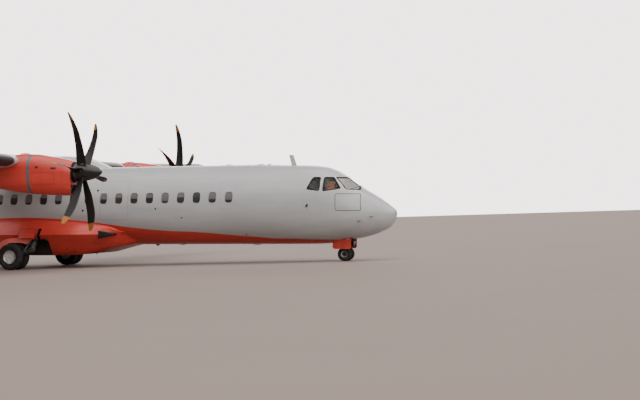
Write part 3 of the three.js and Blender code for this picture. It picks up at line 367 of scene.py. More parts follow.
class Term:
    """A node's output as a term of a Python expression; each operator adds a Math node."""

    def __init__(self, surface, socket):
        self.surface, self.socket = surface, socket

    def math(self, operation, *terms):
        return self.surface.add("ShaderNodeMath", {"operation": operation}, dict(enumerate(terms)))

    def __add__(self, other):
        return self.math("ADD", self, other)

    __radd__ = __add__

    def __sub__(self, other):
        return self.math("SUBTRACT", self, other)

    def __rsub__(self, other):
        return self.math("SUBTRACT", other, self)

    def __mul__(self, other):
        return self.math("MULTIPLY", self, other)

    __rmul__ = __mul__

    def __truediv__(self, other):
        return self.math("DIVIDE", self, other)

    def __pow__(self, other):
        return self.math("POWER", self, other)

    def __abs__(self):
        return self.math("ABSOLUTE", self)

    def most(self, other):
        return self.math("MAXIMUM", self, other)

    def wave(self, pitch):
        """How far the term is from the nearest multiple of a pitch."""
        return self.math("PINGPONG", self, pitch / 2)

    def band(self, centre, half_width, soft):
        """1 within a half width of a centre, falling to 0 over a soft edge."""
        return self.surface.ramp(abs(self - centre), half_width + soft, half_width)


class Surface:
    """One finish under construction: its tree, its shader and what reaches the shader's sockets."""

    def __init__(self, name, **constants):
        self.material = bpy.data.materials.new(name)
        self.material.use_nodes = True
        self.tree = self.material.node_tree
        self.shader = self.tree.nodes["Principled BSDF"]
        for socket, value in constants.items():
            self.shader.inputs[socket.replace("_", " ")].default_value = value
        self.place("Object")

    def place(self, kind):
        """The place that the finish reads, whole and as three terms."""
        where = self.tree.nodes.new("ShaderNodeTexCoord")
        self.where = Term(self, where.outputs[kind])
        apart = self.tree.nodes.new("ShaderNodeSeparateXYZ")
        self.tree.links.new(where.outputs[kind], apart.inputs[0])
        self.x, self.y, self.z = (Term(self, o) for o in apart.outputs)

    def add(self, kind, settings, values, output=0):
        """A node: its settings first, then the values or links of its sockets."""
        node = self.tree.nodes.new(kind)
        for name, value in settings.items():
            if name == "bends":
                curve = node.mapping.curves[0]
                while len(curve.points) < len(value):
                    curve.points.new(0, 0)
                for point, place in zip(curve.points, value):
                    point.location = place
                node.mapping.update()
            else:
                setattr(node, name, value)
        for name, value in values.items():
            if isinstance(value, Term):
                self.tree.links.new(value.socket, node.inputs[name])
            else:
                node.inputs[name].default_value = value
        return Term(self, node.outputs[output])

    def ramp(self, term, low, high, to_low=0.0, to_high=1.0):
        """A term mapped smoothly from one span to another, and held at its ends."""
        values = {"Value": term, 1: low, 2: high, 3: to_low, 4: to_high}
        return self.add("ShaderNodeMapRange", {"interpolation_type": "SMOOTHSTEP"}, values)

    def noise(self, scale, detail=3.0, roughness=0.5, stretch=None):
        """Noise on Object coordinates, or on stretched ones."""
        vector = self.where
        if stretch:
            vector = self.add("ShaderNodeMapping", {}, {"Vector": vector, "Scale": stretch})
        values = {"Vector": vector, "Scale": scale, "Detail": detail, "Roughness": roughness}
        return self.add("ShaderNodeTexNoise", {}, values)

    def mix(self, mask, low, high):
        """One colour laid over another by a mask."""
        settings = {"data_type": "RGBA"}
        low, high = (v if isinstance(v, Term) else (*v, 1) for v in (low, high))
        return self.add("ShaderNodeMix", settings, {"Factor": mask, 6: low, 7: high}, 2)

    def attribute(self, name):
        """A value kept on the piece's points."""
        return self.add("ShaderNodeAttribute", {"attribute_name": name}, {}, 2)

    def bump(self, height, strength, distance):
        """Relief from a height into the Normal socket."""
        values = {"Height": height, "Strength": strength, "Distance": distance}
        self.feed("Normal", self.add("ShaderNodeBump", {}, values))

    def feed(self, socket, value):
        """Links a term to a socket of the shader, or sets it."""
        if isinstance(value, Term):
            self.tree.links.new(value.socket, self.shader.inputs[socket])
        else:
            self.shader.inputs[socket].default_value = (*value, 1) if isinstance(value, tuple) else value

    def levelled(self):
        """Station and height in airframe axes, of a piece that lies along the airframe."""
        station = (MAIN_AXLE_X + MAIN_AXLE_STATION) - self.x
        return station, self.z - station * math.tan(PITCH) + MAIN_AXLE_STATION * math.tan(PITCH)


class Sky(Surface):
    """The light from all round: its shader is the world's, and its place is a direction."""

    def __init__(self, name):
        self.material = bpy.data.worlds.new(name)
        self.material.use_nodes = True
        self.tree = self.material.node_tree
        self.shader = self.tree.nodes["Background"]
        self.shader.inputs["Color"].default_value = (0.95, 0.89, 0.87, 1)
        self.place("Generated")


# Lacquer over the paint
GLOSS = {"Coat_Weight": 0.25, "Coat_Roughness": 0.2, "Specular_IOR_Level": 0.45}


def colour(name, text, default):
    """A colour that a user may change."""
    return bpy.props.FloatVectorProperty(name=name, description=text, subtype="COLOR", default=default)


def length(name, text, default):
    """A length that a user may change."""
    return bpy.props.FloatProperty(name=name, description=text, unit="LENGTH", default=default)


class AirlinerColours(bpy.types.PropertyGroup):
    """Colours of the airliner's finishes."""

    grey: colour("Body grey", "Upper body, wing and tail", (0.42, 0.44, 0.45))
    red: colour("Red", "Belly, nacelles and gear fairings", (0.58, 0.046, 0.03))
    tail: colour("Rudder grey", "Rudder and elevators", (0.3, 0.31, 0.31))
    blade: colour("Blade", "Propeller blades and spinner", (0.009, 0.0085, 0.008))
    tip: colour("Blade tip", "Last part of each blade", (0.36, 0.15, 0.025))
    seat: colour("Seat", "Pilots' seat covers", (0.8, 0.27, 0.05))


class AirlinerSizes(bpy.types.PropertyGroup):
    """Sizes that a user of the airliner may change."""

    window_width: length("Window width", "Width of a cabin window", 0.268)
    window_height: length("Window height", "Height of a cabin window", 0.372)
    skin: length("Skin", "Depth of the body's wall", 0.03)
    floor_reach: length("Floor reach", "Half width of the floor", 900.0)


def colours():
    """The colours as they are set."""
    return bpy.context.scene.airliner_colours


def sizes():
    """The sizes as they are set."""
    return bpy.context.scene.airliner_sizes


PAINTS = {}


def paint(name):
    """A finish of the table, made the first time that it is asked for."""
    if name not in PAINTS:
        maker, *values = FINISHES[name]
        PAINTS[name] = maker(name, *values).material
    return PAINTS[name]


# Top of the red belly along the body, as station and height, and what each is divided by in its curve
RED_LINE = [(1.3, 0.9), (1.95, 0.933), (2.69, 0.95), (3.33, 0.976), (3.83, 0.982), (4.30, 1.03), (5.28, 1.11)]
RED_LINE += [(6.275, 1.197), (7.467, 1.255), (8.658, 1.373), (9.84, 1.529), (10.75, 1.624), (12.2, 1.71)]
RED_LINE += [(13.3, 1.69), (15.0, 1.6), (17.0, 1.4), (19.0, 1.12), (21.0, 1.0)]
RED_REACH, RED_RISE = 26.0, 4


def body_paint(name):
    """Grey over red, with frame and lap lines, fine rivets and faint streaks."""
    s = Surface(name, Roughness=0.34, **GLOSS)
    c = colours()
    station, height = s.levelled()
    bends = [(at / RED_REACH, z / RED_RISE) for at, z in RED_LINE]
    line = s.add("ShaderNodeFloatCurve", {"bends": bends}, {"Value": station / RED_REACH})
    red = s.ramp(height - line * RED_RISE, 0.008, -0.008)
    frames = station.wave(WINDOW_PITCH).band(0, 0.004, 0.006)
    laps = (height - 1.957).wave(0.62).band(0, 0.003, 0.005)
    lines = frames.most(laps * 0.7)
    rivets = (station.wave(0.05).band(0, 0.004, 0.004)) * (height.wave(0.31).band(0, 0.004, 0.004))
    streaks = s.noise(1.0, 4, 0.6, stretch=(0.5, 3.0, 3.0))
    grime = s.noise(7.0, 5, 0.6)
    grey = s.mix(s.ramp(streaks, 0.35, 0.7), tint(c.grey, 0.93), tint(c.grey, 1.05))
    coral = s.mix(s.ramp(streaks, 0.3, 0.7), tint(c.red, 0.85), tint(c.red, 1.1))
    base = s.mix(red, grey, coral)
    base = s.mix(lines * 0.07, base, (0.12, 0.12, 0.12))
    base = s.mix(s.ramp(grime, 0.62, 0.8) * 0.12, base, (0.2, 0.19, 0.18))
    s.feed("Base Color", base)
    s.feed("Roughness", s.ramp(grime, 0.3, 0.7, 0.3, 0.42))
    s.bump(lines * -0.3 + rivets * 0.2 + streaks * 0.08, 0.2, 0.004)
    return s


def plain_paint(name, shade, roughness=0.36, lines=0.0, streak=(0.5, 3.0, 3.0)):
    """A painted finish in one of the colours, with faint streaks and optional panel lines."""
    s = Surface(name, Roughness=roughness, **GLOSS)
    colour = tuple(getattr(colours(), shade)) if isinstance(shade, str) else shade
    streaks = s.noise(1.0, 4, 0.6, stretch=streak)
    grime = s.noise(7.0, 5, 0.6)
    tone = s.ramp(streaks, 0.3, 0.7)
    base = s.mix(tone, tint(colour, 0.9), tint(colour, 1.08))
    relief = streaks * 0.08
    if lines:
        seams = s.x.wave(lines).band(0, 0.003, 0.005)
        across = abs(s.y).wave(lines * 1.7).band(0, 0.003, 0.005)
        both = seams.most(across)
        base = s.mix(both * 0.16, base, (0.1, 0.1, 0.1))
        relief = relief - both * 0.6
    base = s.mix(s.ramp(grime, 0.6, 0.8) * 0.14, base, tint(colour, 0.55))
    s.feed("Base Color", base)
    s.feed("Roughness", s.ramp(grime, 0.3, 0.7, roughness - 0.05, roughness + 0.08))
    s.bump(relief, 0.2, 0.004)
    return s


def rubber_paint(name):
    """Black rubber, greyed by dust."""
    s = Surface(name, Roughness=0.75, Specular_IOR_Level=0.35)
    dust = s.noise(9.0, 5, 0.65)
    s.feed("Base Color", s.mix(s.ramp(dust, 0.35, 0.75), (0.012, 0.012, 0.012), (0.05, 0.047, 0.043)))
    s.feed("Roughness", s.ramp(dust, 0.3, 0.7, 0.62, 0.88))
    s.bump(s.noise(120.0, 3, 0.6), 0.25, 0.002)
    return s


def metal_paint(name, colour, metallic, roughness):
    """Painted or bare gear metal with worn edges and grease."""
    s = Surface(name, Roughness=roughness, Metallic=metallic)
    wear = s.noise(14.0, 5, 0.65)
    base = s.mix(s.ramp(wear, 0.3, 0.7), tint(colour, 0.82), colour)
    base = s.mix(s.ramp(wear, 0.62, 0.78) * 0.4, base, tint(colour, 0.4))
    s.feed("Base Color", base)
    s.feed("Roughness", s.ramp(wear, 0.3, 0.7, roughness - 0.08, roughness + 0.15))
    s.bump(wear, 0.08, 0.003)
    return s


def dark_paint(name, colour, roughness):
    """Dark moulded plastic with a fine grain."""
    s = Surface(name, Roughness=roughness)
    grain = s.noise(60.0, 3, 0.6)
    s.feed("Base Color", s.mix(s.ramp(grain, 0.3, 0.7), tint(colour, 0.7), tint(colour, 1.3)))
    s.bump(grain, 0.15, 0.002)
    return s


def pane_paint(name):
    """Cockpit glass: clear, a little dusty."""
    s = Surface(name, Roughness=0.04, Specular_IOR_Level=0.7)
    dust = s.noise(6.0, 4, 0.6)
    s.feed("Base Color", s.mix(dust, (0.05, 0.06, 0.065), (0.12, 0.13, 0.13)))
    s.feed("Alpha", s.ramp(dust, 0.3, 0.8, 0.12, 0.2))
    return s


def cabin_pane_paint(name):
    """Cabin panes: dark glass with a paler blind behind the upper part of some."""
    s = Surface(name, Roughness=0.14, Specular_IOR_Level=0.4, Coat_Weight=0.15)
    station, height = s.levelled()
    which = station.math("FLOOR", (station - 5.4865) / WINDOW_PITCH)
    draw = s.add("ShaderNodeTexWhiteNoise", {"noise_dimensions": "1D"}, {"W": which + 3.0})
    edge = 2.5 - draw * 0.3
    blind = s.ramp(height - edge, -0.01, 0.01) * s.ramp(draw, 0.3, 0.45)
    cloud = s.noise(3.0, 3, 0.5)
    glass = s.mix(cloud, (0.012, 0.014, 0.015), (0.05, 0.053, 0.053))
    s.feed("Base Color", s.mix(blind * 0.5, glass, (0.22, 0.225, 0.22)))
    return s


# Body skins

SKIN_STATIONS = {"radome": (0.0, 0.52), "nose": (0.5205, 3.0995)}
SKIN_STATIONS |= {"cabin": (3.1005, 22.3995), "tail": (22.4005, 25.9)}
WINDOW_HEIGHT = 2.32
WINDOW_PITCH = 0.541
WINDOW_CELLS = np.concatenate([[4.93, 5.4785], 6.0275 + WINDOW_PITCH * np.arange(22)])
WINDOW_CENTRES = np.concatenate([[5.2, 5.757], 6.298 + WINDOW_PITCH * np.arange(21)])
WINDOW_ARC = math.radians(9.2)
CELL_STEPS, BAND_STEPS = 6, 8
DOORS = {
    "cargo_door": {"stations": (3.29, 4.565), "heights": (1.14, 2.67), "way": 1, "wall": 0.07, "relief": 0.01},
    "passenger_door": {"stations": (19.05, 19.87), "heights": (1.23, 2.98), "way": 1, "wall": 0.06},
    "service_door": {"stations": (19.66, 20.27), "heights": (1.3, 2.52), "way": -1, "wall": 0.06},
}
DOOR_GAP = 0.007


def window_angle():
    """Angle of the window line on the round cabin."""
    half, top, _, widest, _ = body_section(8.0)
    return math.asin((WINDOW_HEIGHT - widest) / (top - widest)), float(half)


def window_hole(turn, grow=0.0):
    """Station and arc offsets of a window's rounded outline: powers of the cosine and sine."""
    z = sizes()
    return (
        (z.window_width / 2 + grow) * signed_power(np.cos(turn), 2 / 3.4),
        (z.window_height / 2 + grow) * signed_power(np.sin(turn), 2 / 3.4),
    )


def window_patches(way):
    """The strip of the cabin that holds one side's windows: rings from each cell's edges in to the
    window's outline, blended evenly between the two."""
    middle, radius = window_angle()
    across, up = (np.linspace(-1, 1, steps, endpoint=False) for steps in (CELL_STEPS, BAND_STEPS))
    half = [(a, -1.0) for a in across] + [(1.0, b) for b in up]
    edge = np.array(half + [(-a, -b) for a, b in half])
    starts, ends = WINDOW_CELLS[:-1], WINDOW_CELLS[1:]
    centre = WINDOW_CENTRES[:, None]
    outer_s = (starts + ends)[:, None] / 2 + edge[None, :, 0] * (ends - starts)[:, None] / 2
    outer_a = middle + edge[None, :, 1] * WINDOW_ARC + 0 * outer_s
    turn = np.arctan2(edge[:, 1], edge[:, 0] * 0.7)
    ds, dt = window_hole(turn)
    inner_s = centre + ds[None]
    inner_a = middle + dt[None] / radius + 0 * inner_s
    share = np.array([0, 0.45, 0.85, 1.0])[None, :, None]
    s = outer_s[:, None] * (1 - share) + inner_s[:, None] * share
    a = outer_a[:, None] * (1 - share) + inner_a[:, None] * share
    angle = a if way > 0 else math.pi - a
    points = body_point(s, angle)
    return [sheet(cell, True) for cell in points]


def cabin_patches():
    """The cabin's skin: full rings ahead of and behind the windows, and between them the roof, the
    belly and a strip with the windows on each side."""
    middle, _ = window_angle()
    low, high = middle - WINDOW_ARC, middle + WINDOW_ARC
    roof = np.linspace(high, math.pi - high, 41)
    belly = np.linspace(math.pi - low, TAU + low, 61)
    port = np.linspace(low, high, BAND_STEPS + 1)
    starboard = math.pi - port[::-1]
    whole = np.concatenate([port[:-1], roof[:-1], starboard[:-1], belly[:-1]])
    edges = zip(WINDOW_CELLS[:-1], WINDOW_CELLS[1:])
    steps = [np.linspace(a, b, CELL_STEPS, endpoint=False) for a, b in edges]
    cells = np.concatenate([*steps, WINDOW_CELLS[-1:]])
    start, end = SKIN_STATIONS["cabin"]
    ahead = np.linspace(start, WINDOW_CELLS[0], 19)
    behind = np.linspace(WINDOW_CELLS[-1], end, 42)
    patches = [sheet(body_point(ahead[:, None], whole[None]), True)]
    patches.append(sheet(body_point(behind[:, None], whole[None]), True))
    patches += [sheet(body_point(cells[:, None], arc[None])) for arc in (roof, belly)]
    return patches + window_patches(1) + window_patches(-1)


def door_window(door):
    """The block of space that a door closes."""
    (a, b), (c, d), way = door["stations"], door["heights"], door["way"]
    gap = DOOR_GAP
    ys = sorted((way * 0.4, way * 1.8))
    return box(placed, (a - gap, ys[0], c - gap), (b + gap, ys[1], d + gap))


def make_body():
    """Radome, cabin with its door openings, and tail cone with a domed end."""
    angles = circle(120)
    tip = (np.linspace(0.02, math.sqrt(SKIN_STATIONS["radome"][1]), 26) ** 2)[:, None]
    piece("radome_skin", loft(body_point(tip, angles[None])), "body_paint", replaces=["radome"])
    cabin = piece("cabin_skin", cabin_patches(), "body_paint", wall=sizes().skin)
    carve(cabin, [door_window(door) for door in DOORS.values()])
    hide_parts("fuselage_forward", "fuselage_center", "fuselage_rear")
    stations = np.linspace(*SKIN_STATIONS["tail"], 36)[:, None]
    tail = body_point(stations, angles[None])
    crown = stations[-1, 0] + 0.1 * np.sin(np.linspace(0.2, 1, 6) * math.pi / 2)
    share = np.sqrt(1 - np.linspace(0.2, 0.98, 6) ** 2)
    middle = tail[-1].mean(0)
    cap = middle + (tail[-1][None] - middle) * share[:, None, None]
    cap[..., 0] -= (crown - stations[-1, 0])[:, None] * 0.9
    piece("tail_cone_skin", loft(np.concatenate([tail, cap])), "body_paint", replaces=["tail_cone"])


def levelled(points):
    """Stations, distances to port and heights in airframe axes of points in the frame: placed() undone."""
    x, up = points[:, 0] - MAIN_AXLE_X, points[:, 2] - MAIN_AXLE_HEIGHT
    ahead = x * math.cos(PITCH) - up * math.sin(PITCH)
    height = x * math.sin(PITCH) + up * math.cos(PITCH) + MAIN_AXLE_HEIGHT
    return MAIN_AXLE_STATION - ahead, points[:, 1], height


def mark(thing, name, measure):
    """Keeps on each point of a piece what a measure of the points gives, for its paint."""
    points = np.empty(len(thing.data.vertices) * 3, np.float32)
    thing.data.vertices.foreach_get("co", points)
    layer = thing.data.attributes.new(name, "FLOAT", "POINT")
    layer.data.foreach_set("value", measure(points.reshape(-1, 3).astype(float)).astype(np.float32))


# Outlines and trim on the body


def front_station(y, z):
    """Station at which the nose reaches a distance to port at a height: the body's half width there,
    worked out along the nose and read backwards."""
    stations = np.linspace(0.55, 2.2, 400)
    half, top, _, widest, square = body_section(stations)
    share = np.clip((np.asarray(z)[..., None] - widest) / (top - widest), 0, 1) ** square
    width = half * (1 - share) ** (1 / square)
    width = np.where(share < 1, width, -1 + 1e-3 * stations)
    reached = np.argmax(width >= np.abs(y)[..., None], -1)
    before = np.maximum(reached - 1, 0)
    take = lambda k: np.take_along_axis(width, k[..., None], -1)[..., 0]
    low, high = take(before), take(reached)
    low = np.where(low < 0, 0, low)
    part = np.clip((np.abs(y) - low) / np.maximum(high - low, 1e-6), 0, 1)
    return stations[before] + part * (stations[1] - stations[0])


def on_side(way):
    """One side of the body seen from beside it."""
    return lambda s, z, inset: body_side(s, z, way, inset)


def on_front(y, z, inset):
    """The nose seen from ahead, set in along the airframe."""
    return placed(front_station(y, z) + inset * 1.35, y, z)


def outline_normals(outline):
    """Outward unit normals of a closed flat outline, by the way that it runs."""
    ahead = np.roll(outline, -1, 0) - np.roll(outline, 1, 0)
    ahead /= np.linalg.norm(ahead, axis=1, keepdims=True)
    a, b = outline, np.roll(outline, -1, 0)
    way = np.sign((a[:, 0] * b[:, 1] - a[:, 1] * b[:, 0]).sum())
    return np.stack([ahead[:, 1], -ahead[:, 0]], -1) * way


def trim(outline, profile, place):
    """A closed profile of (outwards in the outline's plane, inset) pairs carried round an outline and
    placed on a skin, as a patch list."""
    out = outline_normals(outline)
    profile = np.asarray(profile, float)
    flat = outline[:, None] + out[:, None] * profile[None, :, :1]
    inset = np.broadcast_to(profile[None, :, 1], flat.shape[:2])
    points = place(flat[..., 0], flat[..., 1], inset)
    return [sheet(np.concatenate([points, points[:1]]), True)]


def strip_profile(width, proud, sunk, middle=0.0):
    """A flat strip's section: its width, how far it stands proud and how far it is sunk."""
    pairs = [(-1, sunk), (-1, -proud * 0.5), (-0.7, -proud), (0.7, -proud), (1, -proud * 0.5), (1, sunk)]
    return [(middle + share * width / 2, inset) for share, inset in pairs]


def seam(name, outline, section, place, finish):
    """A thin strip round an outline on a skin."""
    piece(name, trim(outline, strip_profile(*section), place), finish, angle=60)


def cover(outline, place, inset=0.0, rings=5):
    """A patch inside an outline: rings from its middle out, placed on a skin."""
    middle = outline.mean(0)
    share = np.linspace(0.0, 1, rings + 1)[1:, None, None]
    flat = middle + (outline - middle)[None] * share
    points = place(flat[..., 0], flat[..., 1], np.full(flat.shape[:2], inset))
    heart = place(np.array([middle[0]]), np.array([middle[1]]), np.array([inset]))
    n = outline.shape[0]
    k = np.arange(n)
    fan = np.stack([k, (k + 1) % n, np.full(n, n)], -1).tolist()
    return [sheet(points, True), (np.vstack([points[0], heart.reshape(1, 3)]), fan)]


def plate(outline, place, outer, inner, rings=4):
    """A solid plate inside an outline, between two insets of a skin."""
    top, bottom = cover(outline, place, outer, rings), cover(outline, place, inner, rings)
    edge = np.stack([place(outline[:, 0], outline[:, 1], np.full(len(outline), i)) for i in (outer, inner)])
    return [*top, *bottom, sheet(edge, True)]


def between(outer, inner):
    """A closed patch list between two grids of points of the same size."""
    edges = [np.stack([outer[e], inner[e]]) for e in (0, -1)]
    edges += [np.stack([outer[:, e], inner[:, e]]) for e in (0, -1)]
    return [sheet(outer), sheet(inner), *[sheet(e) for e in edges]]


def grid(a, b, n, m):
    """Two arrays of values over a pair of ranges."""
    return np.meshgrid(np.linspace(*a, n), np.linspace(*b, m), indexing="ij")


def ellipsoid(centre, radii, rows=14, columns=28, low=-math.pi / 2):
    """A ball stretched by a radius along each airframe axis, from a lowest angle up."""
    u, v = grid((low, math.pi / 2), (0, TAU), rows, columns)
    spokes = (np.cos(u) * np.cos(v), np.cos(u) * np.sin(v), np.sin(u))
    points = placed(*(c + r * spoke for c, r, spoke in zip(centre, radii, spokes)))
    return [sheet(points[:, :-1], True)]


def bevelled(thing, width, segments=2):
    """Rounds a piece's sharper edges."""
    bevel = thing.modifiers.new("bevel", "BEVEL")
    bevel.width, bevel.segments, bevel.limit_method = width, segments, "ANGLE"
    bevel.angle_limit = math.radians(35)
    settle(thing)
    smooth(thing, 50)
    return thing


def rod(start, end, profile, sides=28):
    """A turned bar between two points: (radius, share of its length) pairs, closed at both ends."""
    start, end = np.asarray(start, float), np.asarray(end, float)
    length = np.linalg.norm(end - start)
    pairs = [(r, share * length) for r, share in profile]
    return turned([(0, pairs[0][1]), *pairs, (0, pairs[-1][1])], start, end - start, sides)


def plain_rod(start, end, radius, sides=24):
    """A round bar with its ends just chamfered."""
    return rod(start, end, [(radius * 0.9, 0), (radius, 0.01), (radius, 0.99), (radius * 0.9, 1)], sides)


# Cockpit glass and the cabin windows

SIDE_PANES = {
    "aft": [(2.667, 2.545), (2.502, 2.924), (2.261, 2.922), (2.267, 2.487)],
    "side": [(2.158, 2.473), (2.155, 2.921), (1.873, 2.92), (1.621, 2.558)],
}
FRONT_PANE = [(0.06, 2.925), (0.686, 2.92), (0.829, 2.535), (0.473, 2.512), (0.06, 2.64)]
PANE_CORNER = 0.045
SEAL_SECTION = strip_profile(0.03, 0.004, 0.012)
# Pale strip round each cockpit pane: a pale border, partly a painted edge highlight
HIGHLIGHT_RIM_SECTION = strip_profile(0.018, 0.003, 0.006, 0.025)


def pane_outlines(way):
    """Rounded outlines of one side's panes, with how each is placed on the skin."""
    for name, outline in SIDE_PANES.items():
        yield name, resampled(rounded(outline, PANE_CORNER), 0.03), on_side(way)
    front = [(way * y, z) for y, z in FRONT_PANE]
    yield "front", resampled(rounded(front, PANE_CORNER), 0.03), on_front


def pane_cutters():
    """Prisms through the skin at each pane."""
    cutters = []
    for _, way in SIDES:
        for name, outline, _ in pane_outlines(way):
            if name == "front":
                cutters.append(front_prism(outline, (0.7, 2.0)))
            else:
                cutters.append(side_prism(outline, (way * 0.5, way * 1.5)))
    return cutters


def make_glazing():
    """Glass band set into the nose: the body's section between the heights of the panes."""
    stations = np.linspace(0.9, 2.8, 70)
    _, top, _, widest, square = body_section(stations)
    low = np.clip((2.43 - widest) / (top - widest), 0, 1) ** (square / 2)
    first = np.arcsin(low)[:, None]
    angle = first + (math.pi - 2 * first) * np.linspace(0, 1, 61)[None]
    keep = top[:, None] > 2.44
    rows = np.where(keep[:, 0])[0]
    glass = body_point(stations[rows, None], angle[rows], 0.014)
    inner = body_point(stations[rows, None], angle[rows], 0.022)
    piece("cockpit_glass", between(glass, inner), "pane_glass", replaces=["windscreen"])
    parts = {"seals": [], "rims": [], "screens": [], "blinds": []}
    for _, way in SIDES:
        for name, outline, place in pane_outlines(way):
            parts["seals"] += trim(outline, SEAL_SECTION, place)
            parts["rims"] += trim(outline, HIGHLIGHT_RIM_SECTION, place)
            if name == "front":
                parts["screens"] += plate(outline, place, 0.026, 0.03)
            # Near-black sheets behind the port side and aft panes: painted shade inside the cockpit
            elif way > 0:
                parts["blinds"] += plate(outline, place, 0.026, 0.03)
    piece("cockpit_seals", parts["seals"], "seal_rubber", angle=60)
    piece("cockpit_rim_highlights", parts["rims"], "pale_rim", angle=60)
    piece("sun_screens", parts["screens"], "screen_cloth", angle=60)
    piece("port_shade_sheets", parts["blinds"], "blind_cloth", angle=60)
    post = grid((2.51, 2.93), (-0.03, 0.03), 16, 4)
    across = np.where(post[1] == 0, 1e-4, post[1])
    outer, inner = (on_front(across, post[0], np.full(across.shape, i)) for i in (-0.004, 0.03))
    piece("windscreen_post", between(outer, inner), "trim_grey")


def make_wipers():
    """Two wipers: an arm and a blade lying on each front pane."""
    for side, way in SIDES:
        ys, zs = np.linspace(0.12, 0.7, 17) * way, np.linspace(2.665, 2.55, 17)
        blade = on_front(ys, zs, np.full(17, -0.01))
        lift = np.array([0, -0.012, -0.018, -0.018])
        arm = on_front(np.linspace(0.42, 0.4, 4) * way, np.linspace(2.47, 2.6, 4), lift)
        piece(f"wiper_{side}", tube(blade, 0.007, 8) + tube(arm, 0.006, 8), "black_metal")


def window_grid(grow, inset, way, turns, share=1.0):
    """Points round every cabin window on one side: outlines grown by a length or shrunk by a share, at
    an inset of the skin."""
    middle, radius = window_angle()
    ds, dt = window_hole(turns, grow)
    s = WINDOW_CENTRES[:, None, None] + ds * share
    a = middle + dt * share / radius + 0 * s
    return body_point(s, a if way > 0 else math.pi - a, inset)


# Seal round a cabin window: how far it grows past the hole, inset
WINDOW_SEAL = [(0.011, 0.004), (0.011, -0.001), (0.004, -0.0025), (-0.006, -0.001), (-0.009, 0.012)]
WINDOW_SEAL += [(-0.003, 0.02), (0.006, 0.014)]


def make_cabin_windows():
    """A seal and a pane in each window of both sides."""
    turns = circle(32)[None, None]
    seal = np.array(WINDOW_SEAL)[None, :, None]
    share = np.array([0.02, 0.5, 1.0])[None, :, None]
    panes, seals = [], []
    for _, way in SIDES:
        rings = window_grid(seal[..., 0], seal[..., 1], way, turns)
        seals += [sheet(np.concatenate([w, w[:1]]), True) for w in rings]
        glass = window_grid(0.0, 0.013, way, turns, share)
        panes += [patch for w in glass for patch in (sheet(w, True), lid(w[0]))]
    piece("cabin_seals", seals, "window_rim", angle=60)
    piece("cabin_panes", panes, "cabin_glass", wall=0.004)


def make_nose():
    """Nose skin with its panes and the nose gear's well cut out."""
    angles = circle(144)
    stations = np.linspace(*SKIN_STATIONS["nose"], 66)[:, None]
    nose = piece("nose_skin", [sheet(body_point(stations, angles[None]), True)], "body_paint", wall=0.035)
    well = box(placed, (1.4, -0.42, 0.4), (2.06, 0.42, 1.46))
    carve(nose, [*pane_cutters(), well])
    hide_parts("fuselage_nose")
    make_glazing()
    make_wipers()
    turned_a_little = angles[None] + 0.01
    room = body_point(np.linspace(1.0, 2.98, 37)[:, None], turned_a_little, 0.05)
    liner = piece("cockpit_liner", loft(room), "cockpit_trim")
    inside = body_point(np.linspace(0.98, 2.972, 38)[:, None], turned_a_little, 0.058)
    carve(liner, [loft(inside)], "DIFFERENCE")
    low = box(placed, (0.5, -1.6, 0.3), (3.5, 1.6, 1.74))
    carve(liner, [low, *pane_cutters()])
    floor = box(placed, (1.12, -0.98, 1.735), (2.98, 0.98, 1.75))
    back = box(placed, (2.96, -1.1, 1.75), (2.985, 1.1, 3.1))
    deck = piece("cockpit_floor", floor + back, "cockpit_trim")
    carve(deck, [loft(body_point(np.linspace(0.9, 3.05, 40)[:, None], angles[None], 0.055))], "INTERSECT")
    walls = side_prism([(1.39, 0.75), (2.07, 0.75), (2.07, 1.47), (1.39, 1.47)], (-0.43, 0.43))
    bay = piece("nose_wheel_bay", walls, "bay_paint")
    carve(bay, [box(placed, (1.402, -0.418, 0.3), (2.058, 0.418, 1.455))])
    carve(bay, [loft(body_point(np.linspace(0.9, 3.05, 40)[:, None], angles[None], 0.02))], "INTERSECT")


def make_cockpit():
    """Instrument panel with its glare shield, pedestal, columns and the pilots' seats."""
    face = side_prism([(1.3, 1.76), (1.56, 1.76), (1.5, 2.3), (1.36, 2.38), (1.3, 2.38)], (-0.7, 0.7))
    bevelled(piece("instrument_board", face, "cockpit_plastic", replaces=["instrument_panel"]), 0.015)
    shield = side_prism([(1.28, 2.36), (1.66, 2.31), (1.67, 2.33), (1.3, 2.42)], (-0.72, 0.72))
    bevelled(piece("glare_shield", shield, "shield_cloth"), 0.008)
    pedestal = side_prism([(1.5, 1.76), (2.2, 1.76), (2.2, 2.0), (1.62, 2.1), (1.52, 2.2)], (-0.16, 0.16))
    bevelled(piece("pedestal", pedestal, "cockpit_plastic"), 0.01)
    screens = []
    for y in (-0.55, -0.3, 0.0, 0.3, 0.55):
        screens += box(placed, (1.49, y - 0.1, 2.0), (1.545, y + 0.1, 2.22))
    piece("screens", screens, "screen_glass")
    for side, way in SIDES:
        y = way * 0.48
        column = np.array([placed(1.6, y, 1.76), placed(1.6, y, 2.1), placed(1.64, y, 2.2)])
        column = tube(column, 0.018, 12)
        grips = [(y - 0.15, 2.26), (y - 0.15, 2.17), (y + 0.15, 2.17), (y + 0.15, 2.26)]
        wheel = tube(placed(np.full(4, 1.65), *np.array(grips).T), 0.014, 10)
        piece(f"control_column_{side}", column + wheel, "cockpit_plastic")
        make_seat(side, y)


